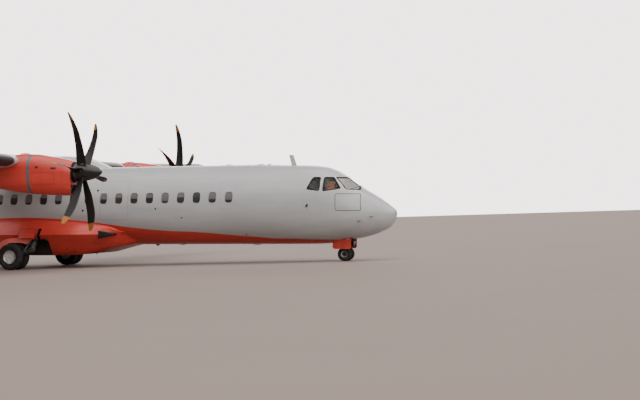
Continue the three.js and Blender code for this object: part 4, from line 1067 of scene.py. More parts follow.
def cushion(low, high, bulge, lean=0.0, n=18):
    """A crowned pad: a block whose faces swell by the cosine of the distance from their middle, its
    corners pulled in by a super-ellipsoid."""
    u = np.linspace(-math.pi / 2, math.pi / 2, n)[:, None]
    v = np.linspace(-math.pi, math.pi, 2 * n, endpoint=False)[None]
    e = 0.38
    x = signed_power(np.cos(u), e) * signed_power(np.cos(v), e)
    y = signed_power(np.cos(u), e) * signed_power(np.sin(v), e)
    z = signed_power(np.sin(u), e) + 0 * v
    swell = 1 + bulge * np.cos(x * math.pi / 2) * np.cos(y * math.pi / 2)
    size, middle = (np.array(high) - low) / 2, (np.array(high) + low) / 2
    s = middle[0] + x * size[0] + lean * z * size[2]
    rings = placed(s, middle[1] + y * size[1], middle[2] + z * swell * size[2])
    return [sheet(rings, True)]


# Pads of a seat: its two corners, as station, distance from the seat's middle and height, bulge, lean
SEAT_PADS = [
    ("seat_pad", (1.69, 0.2, 2.1), (2.05, 0.2, 2.2), 0.25, 0.0),
    ("seat_back", (1.84, 0.213, 2.18), (2.12, 0.213, 2.64), 0.05, 0.17),
    ("headrest", (1.87, 0.2, 2.6), (2.17, 0.2, 2.797), 0.02, 0.17),
]


def make_seat(side, y):
    """Pilot's seat: a pan and a back with crowned pads and a headrest, on a pedestal."""
    base = box(placed, (1.73, y - 0.17, 1.752), (2.03, y + 0.17, 2.06))
    shell = side_prism([(2.03, 2.05), (2.08, 2.05), (2.2, 2.72), (2.15, 2.72)], (y - 0.2, y + 0.2))
    pan = side_prism([(1.7, 2.06), (2.09, 2.06), (2.09, 2.1), (1.7, 2.1)], (y - 0.21, y + 0.21))
    bevelled(piece(f"seat_shell_{side}", base + shell + pan, "seat_frame"), 0.008)
    for name, (low, half_low, foot), (high, half_high, head), bulge, lean in SEAT_PADS:
        pad = cushion((low, y - half_low, foot), (high, y + half_high, head), bulge, lean)
        pad = piece(f"{name}_{side}", pad, "seat_cloth")
        if name == "seat_pad":
            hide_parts(f"pilot_seat_{side}")


def seat_paint(name):
    """Tan woven cover: a fine crossed weave with worn patches."""
    s = Surface(name, Roughness=0.85)
    tan = tuple(colours().seat)
    weave = s.x.wave(0.006) + s.z.wave(0.006) + s.y.wave(0.006)
    worn = s.noise(12.0, 4, 0.6)
    s.feed("Base Color", s.mix(s.ramp(worn, 0.3, 0.7), tint(tan, 0.7), tan))
    s.bump(weave * 80, 0.3, 0.002)
    return s


# Doors


def door_panel(door, wall, lean=0.0):
    """A door's solid: its skin over stations and heights, and its inner face, whose free edge is pulled
    in along the lean."""
    (a, b), (c, d), way = door["stations"], door["heights"], door["way"]
    s, z = grid((a, b), (c, d - door.get("relief", 0.0)), 20, 40)
    outer = body_side(s, z, way)
    free = z == (c if lean < 0 else d)
    inner = body_side(s, np.where(free, z - lean * wall, z), way, wall)
    return between(outer, inner)


def make_doors():
    """Panels, frames and handles of the doors, then what is inside and on them."""
    leans = {"cargo_door": -0.35, "passenger_door": 0.35, "service_door": 0.0}
    for name, door in DOORS.items():
        body = name if name != "service_door" else "airframe"
        panel = door_panel(door, door["wall"], leans[name])
        piece(f"{name}_panel", panel, "body_paint", body, replaces=[name])
        (a, b), (c, d), way = door["stations"], door["heights"], door["way"]
        edge = resampled(np.array([(a, c), (b, c), (b, d), (a, d)]), 0.05)
        seam(f"{name}_frame", edge, (0.012, 0.0015, 0.01, DOOR_GAP + 0.008), on_side(way), "trim_grey")
        handle = rounded([(0, 0), (0.2, 0), (0.2, 0.07), (0, 0.07)], 0.02)
        handle = resampled(handle + np.array([(a + b) / 2 - 0.1, c + (d - c) * 0.45]), 0.02)
        piece(f"{name}_handle", plate(handle, on_side(way), -0.004, 0.01), "black_metal", body)
    make_hold()
    make_airstair()
    make_hinges()


def make_hold():
    """Linings of the cargo hold and of the entry: boxes open at their doors, trimmed to the skin."""
    around = circle(90)[None]
    for name, door, depth in (("hold", "cargo_door", -0.9), ("entry", "passenger_door", -0.56)):
        (a, b), (c, d) = DOORS[door]["stations"], DOORS[door]["heights"]
        g, wall = DOOR_GAP, 0.02
        low, high = (a - g - wall, depth - wall, c - g - wall), (b + g + wall, 1.6, d + g + wall)
        shell = piece(f"{name}_lining", box(placed, low, high), "lining")
        carve(shell, [box(placed, (a - g, depth, c - g), (b + g, 2.0, d + g))])
        carve(shell, [loft(body_point(np.linspace(3.0, 22.0, 90)[:, None], around, 0.012))], "INTERSECT")


STEP_COUNT = 5


def make_airstair():
    """Steps on the inside of the passenger door: treads with ribs between two stringers."""
    door = DOORS["passenger_door"]
    (front, rear), (sill, head) = door["stations"], door["heights"]
    treads, strips = [], []
    for z in sill + (head - sill) / (STEP_COUNT + 1) * np.arange(1, STEP_COUNT + 1):
        s, t = grid((front + 0.06, rear - 0.06), (0, 1), 6, 6)
        inset = 0.075 + t * 0.19
        treads += between(*(body_side(s, z + h, 1, inset) for h in (0.014, -0.014)))
        for near in (0.11, 0.17, 0.23):
            s, t = grid((front + 0.08, rear - 0.08), (0, 0.03), 6, 2)
            strips += between(*(body_side(s, z + h, 1, near + t) for h in (0.0165, 0.0135)))
    piece("airstair_treads", treads, "stair_metal", "passenger_door")
    piece("airstair_grips", strips, "stair_grip", "passenger_door")
    sides = []
    for s0 in (front + 0.046, rear - 0.046):
        z, t = grid((sill + 0.09, head - 0.12), (0, 1), 26, 4)
        sides += between(*(body_side(s0 + w, z, 1, 0.07 + t * 0.2) for w in (-0.012, 0.012)))
    piece("airstair_stringers", sides, "stair_metal", "passenger_door")


def make_hinges():
    """Knuckles of the cargo door and the brackets and arms of the airstair."""
    a, b = np.array([3.29, 1.199, 2.674]), np.array([4.565, 1.235, 2.674])
    line = lambda share: placed(*(a + (b - a) * share))
    fixed, moving = [], []
    for start in (0.12, 0.46, 0.8):
        fixed += plain_rod(line(start), line(start + 0.0275), 0.0155, 16)
        moving += plain_rod(line(start + 0.0302), line(start + 0.0598), 0.0155, 16)
    sill = DOORS["passenger_door"]["heights"][0]
    y, z, eye = 1.14, 1.215, 0.022
    for station in (19.2, 19.72):
        skin = lambda height: (float(body_side(np.array(station), np.array(height), 1, 0.04)[1]), height)
        bracket = [skin(sill - 0.03), (y - 0.008, z + eye), (y + eye, z + 0.006)]
        bracket += [(y + eye - 0.006, z - eye + 0.004), (y - 0.008, z - eye), skin(sill - 0.11)]
        arm = [skin(sill + 0.13), (y + eye - 0.004, z + 0.05), (y + eye, z), (y, z - eye), (y - eye, z)]
        arm = front_prism([*arm, skin(sill + 0.045)], (station + 0.002, station + 0.016))
        fixed += front_prism(bracket, (station - 0.016, station - 0.002))
        piece(f"stair_hinge_arm_{int(station * 100)}", arm, "hinge_metal", "passenger_door")
        fixed += plain_rod(placed(station - 0.02, y, z), placed(station + 0.024, y, z), 0.009, 12)
    piece("door_hinge_knuckles", fixed, "hinge_metal")
    piece("cargo_door_knuckles", moving, "hinge_metal", "cargo_door")


# Wing, tail and their hinged surfaces

HALF_SPAN = 13.525
WING = {"leading": 10.95, "chord": 2.57, "tip_chord": 1.59, "height": 3.475, "half_span": HALF_SPAN}
WING |= {"kink": 4.6, "sweep": 0.0612, "dihedral": 0.0437, "thickness": 0.18, "tip_thickness": 0.13}
WING |= {"camber": 0.02, "incidence": math.radians(2)}
TAILPLANE = {"leading": 25.01, "chord": 2.15, "tip_chord": 1.2998, "height": 6.67, "half_span": 3.655}
TAILPLANE |= {"kink": 0.0, "sweep": 0.262, "dihedral": 0.0, "thickness": 0.115, "tip_thickness": 0.115}
TAILPLANE |= {"camber": 0.0, "incidence": 0.0}
MOVING_GAP, FLAP_DROP = 0.008, 0.26
# Flaps and ailerons: span, share of the chord at the hinge line, gap, stretch of wing that is cut
MOVERS = {
    "flap_inboard": ((1.33, 3.47), 0.72, 0.016, (1.2, 3.6, 13)),
    "flap_outboard": ((4.64, 8.88), 0.72, 0.016, (4.61, 9.1, 19)),
    "aileron": ((8.93, 12.95), 0.74, MOVING_GAP, (8.8, 13.1, 19)),
}
FLAP_HINGES = {"inboard": (1.7, 3.1), "outboard": (5.5, 8.1)}
ELEVATOR_SPAN, ELEVATOR_SHARE = (0.23, 3.555), 0.66
RUDDER_HINGE = ((24.56, 3.52), (25.31, 6.48))
SURFACE_REACH = 2.4
# Fin: height, leading edge, trailing edge, thickness share of the chord
FIN_TABLE = np.array(
    [
        [3000, 18330, 25675, 35],
        [3420, 18790, 25815, 35],
        [3660, 19970, 25890, 40],
        [3880, 21050, 25955, 50],
        [4180, 21955, 26065, 65],
        [4740, 22765, 26265, 85],
        [5270, 23530, 26450, 100],
        [5790, 24130, 26630, 110],
        [6640, 24620, 26910, 110],
        [7080, 24955, 27055, 100],
        [7300, 25225, 27135, 80],
        [7340, 25425, 27130, 40],
    ]
) / 1000


def foil_half(x, thickness):
    """Half the thickness at shares of the chord: the four-digit law, with a blunt trailing edge."""
    roots = 0.2969 * np.sqrt(x) - 0.126 * x - 0.3516 * x**2 + 0.2843 * x**3 - 0.1015 * x**4
    return 5 * thickness * roots + 0.001 * x


def foil(thickness, camber, n=34):
    """Lifting section from the trailing edge over the top and back, about a parabolic middle line,
    closer together at both edges."""
    x = (1 - np.cos(np.linspace(0, math.pi, n))) / 2
    half = foil_half(x, np.asarray(thickness)[..., None])
    middle = 4 * camber * x * (1 - x)
    up, down = (middle + half)[..., ::-1], (middle - half)[..., 1:]
    return np.concatenate([x[::-1], x[1:]]), np.concatenate([up, down], -1)


def spread(form, y):
    """How far a distance to port is past the kink of a wing, and the chord and thickness there."""
    out = np.maximum(np.abs(y) - form["kink"], 0)
    share = out / (form["half_span"] - form["kink"])
    chord, thickness = (form[k] + (form["tip_" + k] - form[k]) * share for k in ("chord", "thickness"))
    return out, chord, thickness


def lifting_rings(form, ys, shrink=1.0):
    """Sections of a wing at distances to port, shrunk about 40% of the chord."""
    ys = np.asarray(ys, float)
    shrink = np.broadcast_to(shrink, ys.shape)[:, None]
    out, chord, thickness = spread(form, ys)
    out, chord = out[:, None], chord[:, None]
    x, z = foil(thickness, form["camber"])
    pulled = 0.4 + (x - 0.4) * shrink
    drop = pulled * chord * math.tan(form["incidence"])
    height = form["height"] + out * form["dihedral"] + z * shrink * chord - drop
    return placed(form["leading"] + out * form["sweep"] + pulled * chord, ys[:, None], height)


def middle_of(form, y, x):
    """Middle of a wing's thickness at a share of its chord, in airframe axes, and half the thickness."""
    out, chord, thickness = spread(form, y)
    z = 4 * form["camber"] * x * (1 - x) - x * math.tan(form["incidence"])
    s = form["leading"] + out * form["sweep"] + x * chord
    height = form["height"] + out * form["dihedral"] + z * chord
    return np.array([s, y, height]), foil_half(x, thickness) * chord


def chord_share(form):
    """A measure of a place's share of a wing's chord."""

    def measure(s, y, _):
        out, chord, _ = spread(form, y)
        return (s - form["leading"] - out * form["sweep"]) / chord

    return measure


def surface_space(start, end, radius, end_gap, growth=0.0):
    """Space of a hinged surface as a closed patch list: a half circle ahead of the hinge line, open aft,
    along the line less a gap at each end. The line is in airframe axes, station first."""
    start, end = (placed(*p) for p in (start, end))
    along = (end - start) / np.linalg.norm(end - start)
    aft = AFT - along * (AFT @ along)
    aft /= np.linalg.norm(aft)
    up = np.cross(along, aft)
    nose, gap = radius + growth, end_gap - growth
    turn = np.linspace(math.pi / 2, 1.5 * math.pi, 25)
    arc = np.stack([nose * np.cos(turn), nose * np.sin(turn)], -1)
    profile = np.vstack([arc, [[SURFACE_REACH, -nose], [SURFACE_REACH, nose]]])
    ring = profile[:, :1] * aft + profile[:, 1:] * up
    return loft(np.stack([start + along * gap + ring, end - along * gap + ring]))


def edged_paint(name, spans):
    """Wing and tail grey with black rubber along the leading edges between the distances to port of each
    span, seams and faint streaks."""
    s = Surface(name, Roughness=0.36, **GLOSS)
    grey = tuple(colours().grey)
    back = s.attribute("back")
    along = sum(s.ramp(abs(s.y), a, a + 0.01) * s.ramp(abs(s.y), b + 0.01, b) for a, b in spans)
    boot = s.ramp(back, 0.13, 0.122) * along
    rim = back.band(0.13, 0.004, 0.004) * along
    streaks = s.noise(1.0, 4, 0.6, stretch=(3.0, 0.5, 3.0))
    grime = s.noise(7.0, 5, 0.6)
    seams = abs(s.y).wave(0.82).band(0, 0.003, 0.005)
    spar = back.wave(0.22).band(0, 0.0015, 0.002)
    lines = seams.most(spar)
    base = s.mix(s.ramp(streaks, 0.3, 0.7), tint(grey, 0.92), tint(grey, 1.05))
    base = s.mix(lines * 0.2, base, (0.1, 0.1, 0.1))
    base = s.mix(s.ramp(grime, 0.6, 0.8) * 0.14, base, (0.2, 0.19, 0.18))
    base = s.mix(boot, base, s.mix(grime, (0.012, 0.012, 0.012), (0.03, 0.03, 0.03)))
    base = s.mix(rim * 0.7, base, (0.4, 0.41, 0.42))
    s.feed("Base Color", base)
    s.feed("Roughness", s.ramp(boot, 0, 1, 0.36, 0.62))
    s.bump(streaks * 0.08 - lines * 0.6 * (1 - boot) + back.wave(0.02) * boot * 20, 0.2, 0.004)
    return s


def lifting_piece(name, rings, shade, edges, body="airframe", replaces=(), cuts=(), keeps=()):
    """A lifting surface: the skin through its sections, then the spaces that are cut away and kept. The
    leading edge and the chord at each point's place give its share of the chord, for the paint."""
    whole = piece(name, loft(rings), shade, body, weld=1e-7)
    if cuts:
        carve(whole, cuts, "DIFFERENCE", 30)
    if keeps:
        carve(whole, keeps, "INTERSECT", 30)
    mark(whole, "back", lambda points: edges(*levelled(points)))
    if replaces:
        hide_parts(*replaces)
    return whole


def fin_share(s, _, z):
    """Share of the fin's chord: counted as far aft below the fillet, which has no rubber."""
    leading, trailing = (np.interp(z, FIN_TABLE[:, 0], FIN_TABLE[:, i]) for i in (1, 2))
    return np.where(z < 4.35, 0.5, (s - leading) / (trailing - leading))


def make_wing():
    """Centre and outer wing with the spaces of the flaps and ailerons cut out, and those surfaces kept
    from the same sections."""
    spans = {}
    for side, way in SIDES:
        for name, (reach, share, gap, _) in MOVERS.items():
            ends = [middle_of(WING, way * y, share) for y in reach]
            spans[name, side] = (*(middle for middle, _ in ends[::way]), ends[0][1] * 1.04, gap)
    grown = lambda key: surface_space(*spans[key], spans[key][3])
    skin = lambda name, rings, body="airframe", **more: lifting_piece(
        name, rings, "wing_paint", chord_share(WING), body, **more
    )
    kink, end = WING["kink"], HALF_SPAN - 0.26
    cuts = [grown(("flap_inboard", side)) for side, _ in SIDES]
    centre = lifting_rings(WING, np.linspace(-kink, kink, 61))
    skin("wing_centre_skin", centre, replaces=["wing_center"], cuts=cuts)
    for side, way in SIDES:
        root = lifting_rings(WING, way * np.linspace(kink + 0.001, end, 56))
        t = np.linspace(0, 1, 14)
        tip = lifting_rings(WING, way * (end + (HALF_SPAN - end) * t), 1 - 0.38 * t**3.2)
        cuts = [grown((name, side)) for name in ("flap_outboard", "aileron")]
        outer = np.concatenate([root[:-1], tip])
        skin(f"wing_outer_skin_{side}", outer, replaces=[f"wing_outer_{side}"], cuts=cuts)
        for name, (_, _, _, stretch) in MOVERS.items():
            rings, body = lifting_rings(WING, way * np.linspace(*stretch)), f"{name}_{side}"
            keeps = [surface_space(*spans[name, side])]
            skin(f"{name}_skin_{side}", rings, body, replaces=[body], keeps=keeps)
        make_flap_hinges(side, way, spans)
        make_wing_tip(side, way)
    make_root_fairing()


# Side views of the brackets and arms, about the wing's underside and the hinge pin
FLAP_BRACKET = [(-0.64, -0.09), (-0.185, -0.09), (-0.175, -0.172), (0.02, 0.078 - FLAP_DROP)]
FLAP_BRACKET += [(0.038, 0.01 - FLAP_DROP), (0.024, -0.026 - FLAP_DROP), (-0.06, -0.03 - FLAP_DROP)]
FLAP_BRACKET += [(-0.42, -0.19)]
FLAP_ARM = [(0.06, 0.0), (0.42, -0.02), (0.33, -0.15), (0.04, -0.026 - FLAP_DROP)]
FLAP_ARM += [(-0.03, -0.02 - FLAP_DROP), (-0.03, 0.026 - FLAP_DROP)]


def make_flap_hinges(side, way, spans):
    """Brackets under the wing and arms on the flaps, side by side on one pin."""
    for place, ys in FLAP_HINGES.items():
        start, end = spans[f"flap_{place}", side][:2]
        for number, y in enumerate(ys):
            y = way * y
            s, _, z = start + (end - start) * (y - start[1]) / (end[1] - start[1])
            tag, at = f"{place}_{side}_{number}", np.array([s, z])
            bracket = side_prism(FLAP_BRACKET + at, (y - 0.03, y - 0.004))
            arm = side_prism(FLAP_ARM + at, (y + 0.004, y + 0.03))
            bevelled(piece(f"flap_bracket_{tag}", bracket, "wing_metal"), 0.006)
            bevelled(piece(f"flap_arm_{tag}", arm, "wing_metal", f"flap_{place}_{side}"), 0.006)
            ends = (placed(s, y + reach, z - FLAP_DROP) for reach in (-0.026, 0.038))
            piece(f"flap_pin_{tag}", plain_rod(*ends, 0.0135, 16), "hinge_metal")


def make_wing_tip(side, way):
    """Position light on the tip's leading corner, and static wicks behind."""
    nose, _ = middle_of(WING, way * (HALF_SPAN - 0.16), 0.03)
    piece(f"tip_light_{side}", ellipsoid(nose, (0.1, 0.1, 0.035), 14, 24), f"tip_lamp_{side}")
    wicks = []
    for y in np.linspace(9.6, 12.7, 4):
        (s, y, z), _ = middle_of(WING, way * y, 0.995)
        wicks += rod(placed(s - 0.02, y, z), placed(s + 0.16, y, z + 0.005), [(0.005, 0), (0.003, 1)], 8)
    piece(f"aileron_wicks_{side}", wicks, "black_metal", f"aileron_{side}")


def lamp_paint(name, colour):
    """A lit lens: clear colour with a ribbed surface."""
    s = Surface(name, Roughness=0.12, Specular_IOR_Level=0.7, Coat_Weight=0.6)
    cells = s.x.wave(0.02) + s.z.wave(0.02)
    s.feed("Base Color", s.mix(s.noise(20.0), tint(colour, 0.8), colour))
    s.bump(cells * 20, 0.2, 0.003)
    return s


# Fairing over the wing root: station, half width, top, foot
ROOT_FAIRING_TABLE = np.array(
    [
        [9850, 350, 3370, 3100],
        [10250, 820, 3540, 2960],
        [10800, 1110, 3735, 2880],
        [11500, 1230, 3800, 2840],
        [12600, 1240, 3790, 2840],
        [13500, 1150, 3660, 2870],
        [14300, 850, 3500, 2950],
        [14950, 400, 3370, 3100],
    ]
) / 1000


def make_root_fairing():
    """Fairing over the wing root: half a super-ellipse at each station."""
    stations = np.linspace(9.85, 14.95, 60)
    rows = curve_through(ROOT_FAIRING_TABLE)(stations)
    half, top, foot = (rows[:, i, None] for i in range(3))
    angle = np.linspace(0, math.pi, 49)[None]
    y = half * signed_power(np.cos(angle), 0.75)
    z = foot + (top - foot) * signed_power(np.sin(angle), 0.75)
    rings = placed(stations[:, None], y, z)
    piece("root_fairing_skin", loft(rings), "fairing_paint", replaces=["wing_root_fairing"])


def fin_rings(heights):
    """The fin's sections at heights."""
    rows = curve_through(FIN_TABLE)(heights)
    leading, trailing, thickness = (rows[:, i] for i in range(3))
    x, half = foil(thickness, 0.0)
    chord = (trailing - leading)[:, None]
    return placed(leading[:, None] + x * chord, half * chord, np.asarray(heights)[:, None])


def make_tail():
    """Fin, rudder, fin cap, tailplane and elevators."""
    level, half_span, gap = TAILPLANE["height"], TAILPLANE["half_span"], MOVING_GAP
    foot, head = ((s, 0, z) for s, z in RUDDER_HINGE)
    fin = fin_rings(np.concatenate([np.linspace(3.0, 4.3, 22), np.linspace(4.35, level - 0.0005, 24)]))
    cuts, keeps = [surface_space(foot, head, 0.13, gap, gap)], [surface_space(foot, head, 0.13, gap)]
    lifting_piece("fin_skin", fin, "tail_paint", fin_share, replaces=["fin"], cuts=cuts)
    rudder = fin_rings(np.linspace(3.3, level - 0.03, 30))
    lifting_piece("rudder_skin", rudder, "rudder_paint", fin_share, "rudder", ["rudder"], keeps=keeps)
    cap = fin_rings(np.concatenate([np.linspace(level + 0.0015, 7.25, 16), np.linspace(7.26, 7.34, 9)]))
    lifting_piece("fin_cap_skin", cap, "tail_paint", fin_share, replaces=["fin_cap"])
    inner = half_span - 0.13
    t = np.linspace(0, 1, 10)
    edge = 1 - 0.3 * t**3
    ys = np.concatenate([-(inner + 0.13 * t[::-1]), np.linspace(-inner, inner, 60)[1:-1], inner + 0.13 * t])
    rings = lifting_rings(TAILPLANE, ys, np.concatenate([edge[::-1], np.ones(58), edge]))
    share = chord_share(TAILPLANE)
    hinge = lambda y: middle_of(TAILPLANE, y, ELEVATOR_SHARE)[0]
    lines = [[hinge(way * y) for y in ELEVATOR_SPAN][::way] for _, way in SIDES]
    cuts = [surface_space(*line, 0.088, gap, gap) for line in lines]
    lifting_piece("tailplane_skin", rings, "tail_paint", share, replaces=["tailplane"], cuts=cuts)
    for (side, way), line in zip(SIDES, lines):
        rings = lifting_rings(TAILPLANE, way * np.linspace(0.1, half_span - 0.005, 24))
        body, keeps = f"elevator_{side}", [surface_space(*line, 0.088, gap)]
        lifting_piece(f"elevator_skin_{side}", rings, "rudder_paint", share, body, [body], keeps=keeps)


# Nacelles and propellers

NACELLE_Y = 4.05
HUB_STATION, HUB_HEIGHT, BLADE_REACH = 9.0, 3.11, 1.965
PARKED_AZIMUTH = {"left": math.radians(1.37), "right": math.radians(-22.78)}
NACELLE_TABLE = np.array(
    [
        [9280, 360, 3450, 2400],
        [9500, 430, 3520, 2397],
        [10000, 500, 3612, 2415],
        [10500, 530, 3690, 2450],
        [11000, 540, 3706, 2500],
        [11300, 540, 3665, 2545],
        [11840, 530, 3560, 2638],
        [12500, 490, 3500, 2770],
        [13200, 385, 3420, 2940],
        [13800, 230, 3385, 3090],
        [14150, 90, 3350, 3220],
    ]
) / 1000
NACELLE_SQUARENESS, FIREWALL = 2.7, 11.3
nacelle_rows = curve_through(NACELLE_TABLE)


def nacelle_point(station, angle, middle, scale):
    """The nacelle's section: a super-ellipse about its middle height."""
    half, top, bottom = np.moveaxis(nacelle_rows(station), -1, 0)
    power = 2 / NACELLE_SQUARENESS
    z = (top + bottom) / 2 + (top - bottom) / 2 * scale * signed_power(np.sin(angle), power)
    return placed(station, middle + half * scale * signed_power(np.cos(angle), power), z)


def nacelle_side(station, height, middle, way, inset):
    """The nacelle's skin at a station and a height: its section's equation solved for y."""
    half, top, bottom = np.moveaxis(nacelle_rows(station), -1, 0)
    rise = (top - bottom) / 2 - inset
    share = np.clip(np.abs(height - (top + bottom) / 2) / rise, 0, 1) ** NACELLE_SQUARENESS
    return placed(station, middle + way * (half - inset) * (1 - share) ** (1 / NACELLE_SQUARENESS), height)


def nacelle_paint(name):
    """Nacelle red with a pale band round the cowl, access panel seams, fasteners and soot."""
    s = Surface(name, Roughness=0.34, Coat_Weight=0.3, Coat_Roughness=0.18, Specular_IOR_Level=0.45)
    red = tuple(colours().red)
    station = (MAIN_AXLE_X + MAIN_AXLE_STATION) - s.x + s.z * math.tan(PITCH)
    streaks = s.noise(1.0, 4, 0.6, stretch=(0.5, 3.0, 3.0))
    grime = s.noise(7.0, 5, 0.6)
    seams = station.wave(0.68).band(0, 0.003, 0.005).most((s.z - 3.03).wave(0.37).band(0, 0.003, 0.005))
    studs = station.wave(0.085).band(0, 0.005, 0.004) * (s.z - 2.985).wave(0.37).band(0, 0.005, 0.004)
    band = station.band(10.62, 0.055, 0.004)
    base = s.mix(s.ramp(streaks, 0.3, 0.7), tint(red, 0.88), tint(red, 1.08))
    base = s.mix(seams * 0.35, base, (0.05, 0.02, 0.02))
    base = s.mix(band, base, s.mix(grime, (0.09, 0.09, 0.09), (0.14, 0.14, 0.14)))
    soot = s.ramp(station, 12.6, 13.9) * s.ramp(grime, 0.3, 0.7)
    base = s.mix(soot * 0.5, base, (0.03, 0.02, 0.02))
    s.feed("Base Color", base)
    s.feed("Roughness", s.ramp(grime, 0.3, 0.7, 0.28, 0.42))
    s.bump(studs * 0.5 - seams * 0.6 + streaks * 0.08, 0.22, 0.004)
    return s


def intake_outline(middle):
    """Mouth of the chin intake: a wide rounded slot, as y and height."""
    half, low, high = 0.27, 2.44, 2.7
    t = circle(48)
    y = middle + half * signed_power(np.cos(t), 0.55)
    z = (low + high) / 2 + (high - low) / 2 * signed_power(np.sin(t), 0.62)
    return np.stack([y, z], -1)


# Throat of the intake: station, share of the mouth's size, rise
THROAT = [(9.1, 1.03, 0), (9.29, 1.0, 0), (9.45, 0.93, 0.01), (9.75, 0.82, 0.04)]
# Rolled edge of the cowl's front: share of the section's size, shift aft
COWL_EDGE = [(0.84, 0.02), (0.88, 0.0), (0.92, -0.008), (0.955, -0.008), (0.98, -0.004), (0.993, 0.003)]
COWL_EDGE += [(1.0, 0.01)]
GEARBOX_RING = [(0.0, 0.0), (0.2, 0.0), (0.29, 0.012), (0.318, 0.03), (0.318, 0.06), (0, 0.06)]
EXHAUST_PIPE = [(0, 0.002), (0.16, 0.002), (0.165, 0.01), (0.165, 1.04), (0.162, 1.049), (0.155, 1.045)]
EXHAUST_PIPE += [(0.153, 1.03), (0.15, 0.9), (0.14, 0.1), (0, 0.08)]


def make_nacelles():
    """Cowls with the chin intake, gearbox rings, rear halves with the exhaust pipes, propellers."""
    angles = circle(96)[None]
    for side, way in SIDES:
        middle = way * NACELLE_Y
        stations = np.concatenate([np.full(7, 9.28), np.linspace(9.3, FIREWALL - 0.0005, 44)])
        scale, shift = np.ones(len(stations)), np.zeros(len(stations))
        scale[:7], shift[:7] = np.transpose(COWL_EDGE)
        rings = nacelle_point(stations[:, None], angles, middle, scale[:, None])
        rings += AFT * shift[:, None, None]
        cowl = piece(f"cowl_skin_{side}", loft(rings), "nacelle_paint")
        mouth = intake_outline(middle)
        y, z = mouth.T
        throat = [placed(s, middle + (y - middle) * k, 2.57 + (z - 2.57) * k + lift) for s, k, lift in THROAT]
        # The throat's cut faces are painted near-black: painted shade inside the intake
        carve(cowl, [loft(np.stack(throat))], inside="intake_dark")
        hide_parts(f"nacelle_cowl_{side}")
        piece(f"intake_lip_{side}", closed_tube(placed(9.268 + 0 * y, y, z), 0.026, 14), "boot_rubber")
        vanes = []
        for across in (middle - 0.12, middle, middle + 0.12):
            vane = [(9.5, 2.46), (9.5, 2.72), (9.62, 2.72), (9.62, 2.46)]
            vanes += side_prism(vane, (across - 0.006, across + 0.006))
        piece(f"intake_vanes_{side}", vanes, "black_metal")
        duct = turned(GEARBOX_RING, placed(9.31, middle, HUB_HEIGHT), -AFT, 64)
        piece(f"gearbox_ring_{side}", duct, "black_metal")
        cap = 14.0 + 0.15 * np.sin(np.linspace(0.15, 1, 8) * math.pi / 2)
        aft = np.concatenate([np.linspace(FIREWALL + 0.0005, 14.0, 54), cap])
        scale = np.concatenate([np.ones(54), np.sqrt(1 - np.linspace(0.15, 0.985, 8) ** 2)])
        rings = nacelle_point(aft[:, None], angles, middle, scale[:, None])
        back = piece(f"nacelle_aft_skin_{side}", loft(rings), "nacelle_paint")
        pipe_y = middle + way * 0.4
        seat = [(0, 0), (0.169, 0), (0.169, 1.45), (0, 1.45)]
        carve(back, [turned(seat, placed(12.301, pipe_y, 2.99), AFT, 48)])
        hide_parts(f"nacelle_aft_{side}")
        pipe = turned(EXHAUST_PIPE, placed(12.3, pipe_y, 2.99), AFT, 48)
        piece(f"exhaust_pipe_{side}", pipe, "exhaust_metal", replaces=[f"exhaust_{side}"])
        make_cowl_details(side, way, middle)
        make_propeller(side, middle)


def closed_tube(ring, radius, sides):
    """A round bar along a closed ring of points."""
    ahead = frames_along(ring, True)
    heart = ring.mean(0)
    out = ring - heart
    out -= ahead * (out * ahead).sum(1, keepdims=True)
    out /= np.linalg.norm(out, axis=1, keepdims=True)
    across = np.cross(ahead, out)
    t = circle(sides)
    spokes = out[:, None] * np.cos(t)[None, :, None] + across[:, None] * np.sin(t)[None, :, None]
    points = ring[:, None] + radius * spokes
    return [sheet(np.concatenate([points, points[:1]]), True)]


def exhaust_paint(name):
    """Heat-browned steel, darker towards the mouth."""
    s = Surface(name, Roughness=0.45, Metallic=0.85)
    heat = s.noise(4.0, 5, 0.6, stretch=(1, 3, 3))
    s.feed("Base Color", s.mix(s.ramp(heat, 0.3, 0.7), (0.12, 0.085, 0.065), (0.3, 0.25, 0.21)))
    s.feed("Roughness", s.ramp(heat, 0.3, 0.7, 0.35, 0.6))
    s.bump(heat, 0.1, 0.003)
    return s


def make_cowl_details(side, way, middle):
    """Vents, a slot, the oil cooler's outlet and the hump over the firewall."""
    for face in (1, -1):
        tag = f"{side}_{'outer' if face == way else 'inner'}"
        place = lambda s, z, inset, f=face: nacelle_side(s, z, middle, f, inset)
        oval = np.stack([10.32 + 0.05 * np.cos(circle(24)), 3.27 + 0.035 * np.sin(circle(24))], -1)
        slot = block((9.7, 3.2), (9.87, 3.26), 0.02, 0.02)
        parts = plate(oval, place, -0.004, 0.01, 2) + plate(slot, place, -0.003, 0.01, 2)
        piece(f"cowl_vents_{tag}", parts, "black_metal")
        door = block((9.75, 2.75), (10.5, 3.12), 0.05, 0.03)
        seam(f"cowl_door_seam_{tag}", door, (0.008, 0.0012, 0.004), place, "seam_red")
    hump = ellipsoid((10.95, middle, 3.69), (0.2, 0.13, 0.05))
    scoop = ellipsoid((12.05, middle, 2.66), (0.3, 0.1, 0.06))
    piece(f"cowl_humps_{side}", hump + scoop, "nacelle_paint")


# Propeller blade: radius, chord, thickness, sweep aft of the pitch axis, twist from feathered in degrees
BLADE_TABLE = [
    [0.15, 0.15, 0.09, 0, 42],
    [0.33, 0.285, 0.062, 0, 33],
    [0.5, 0.268, 0.044, -0.008, 22],
    [0.85, 0.255, 0.028, -0.028, -4],
    [1.3, 0.252, 0.018, -0.016, -19],
    [1.6, 0.222, 0.014, 0.028, -26],
    [1.85, 0.15, 0.01, 0.09, -29],
    [1.965, 0.084, 0.007, 0.125, -31],
]
BLADE_COUNT = 6
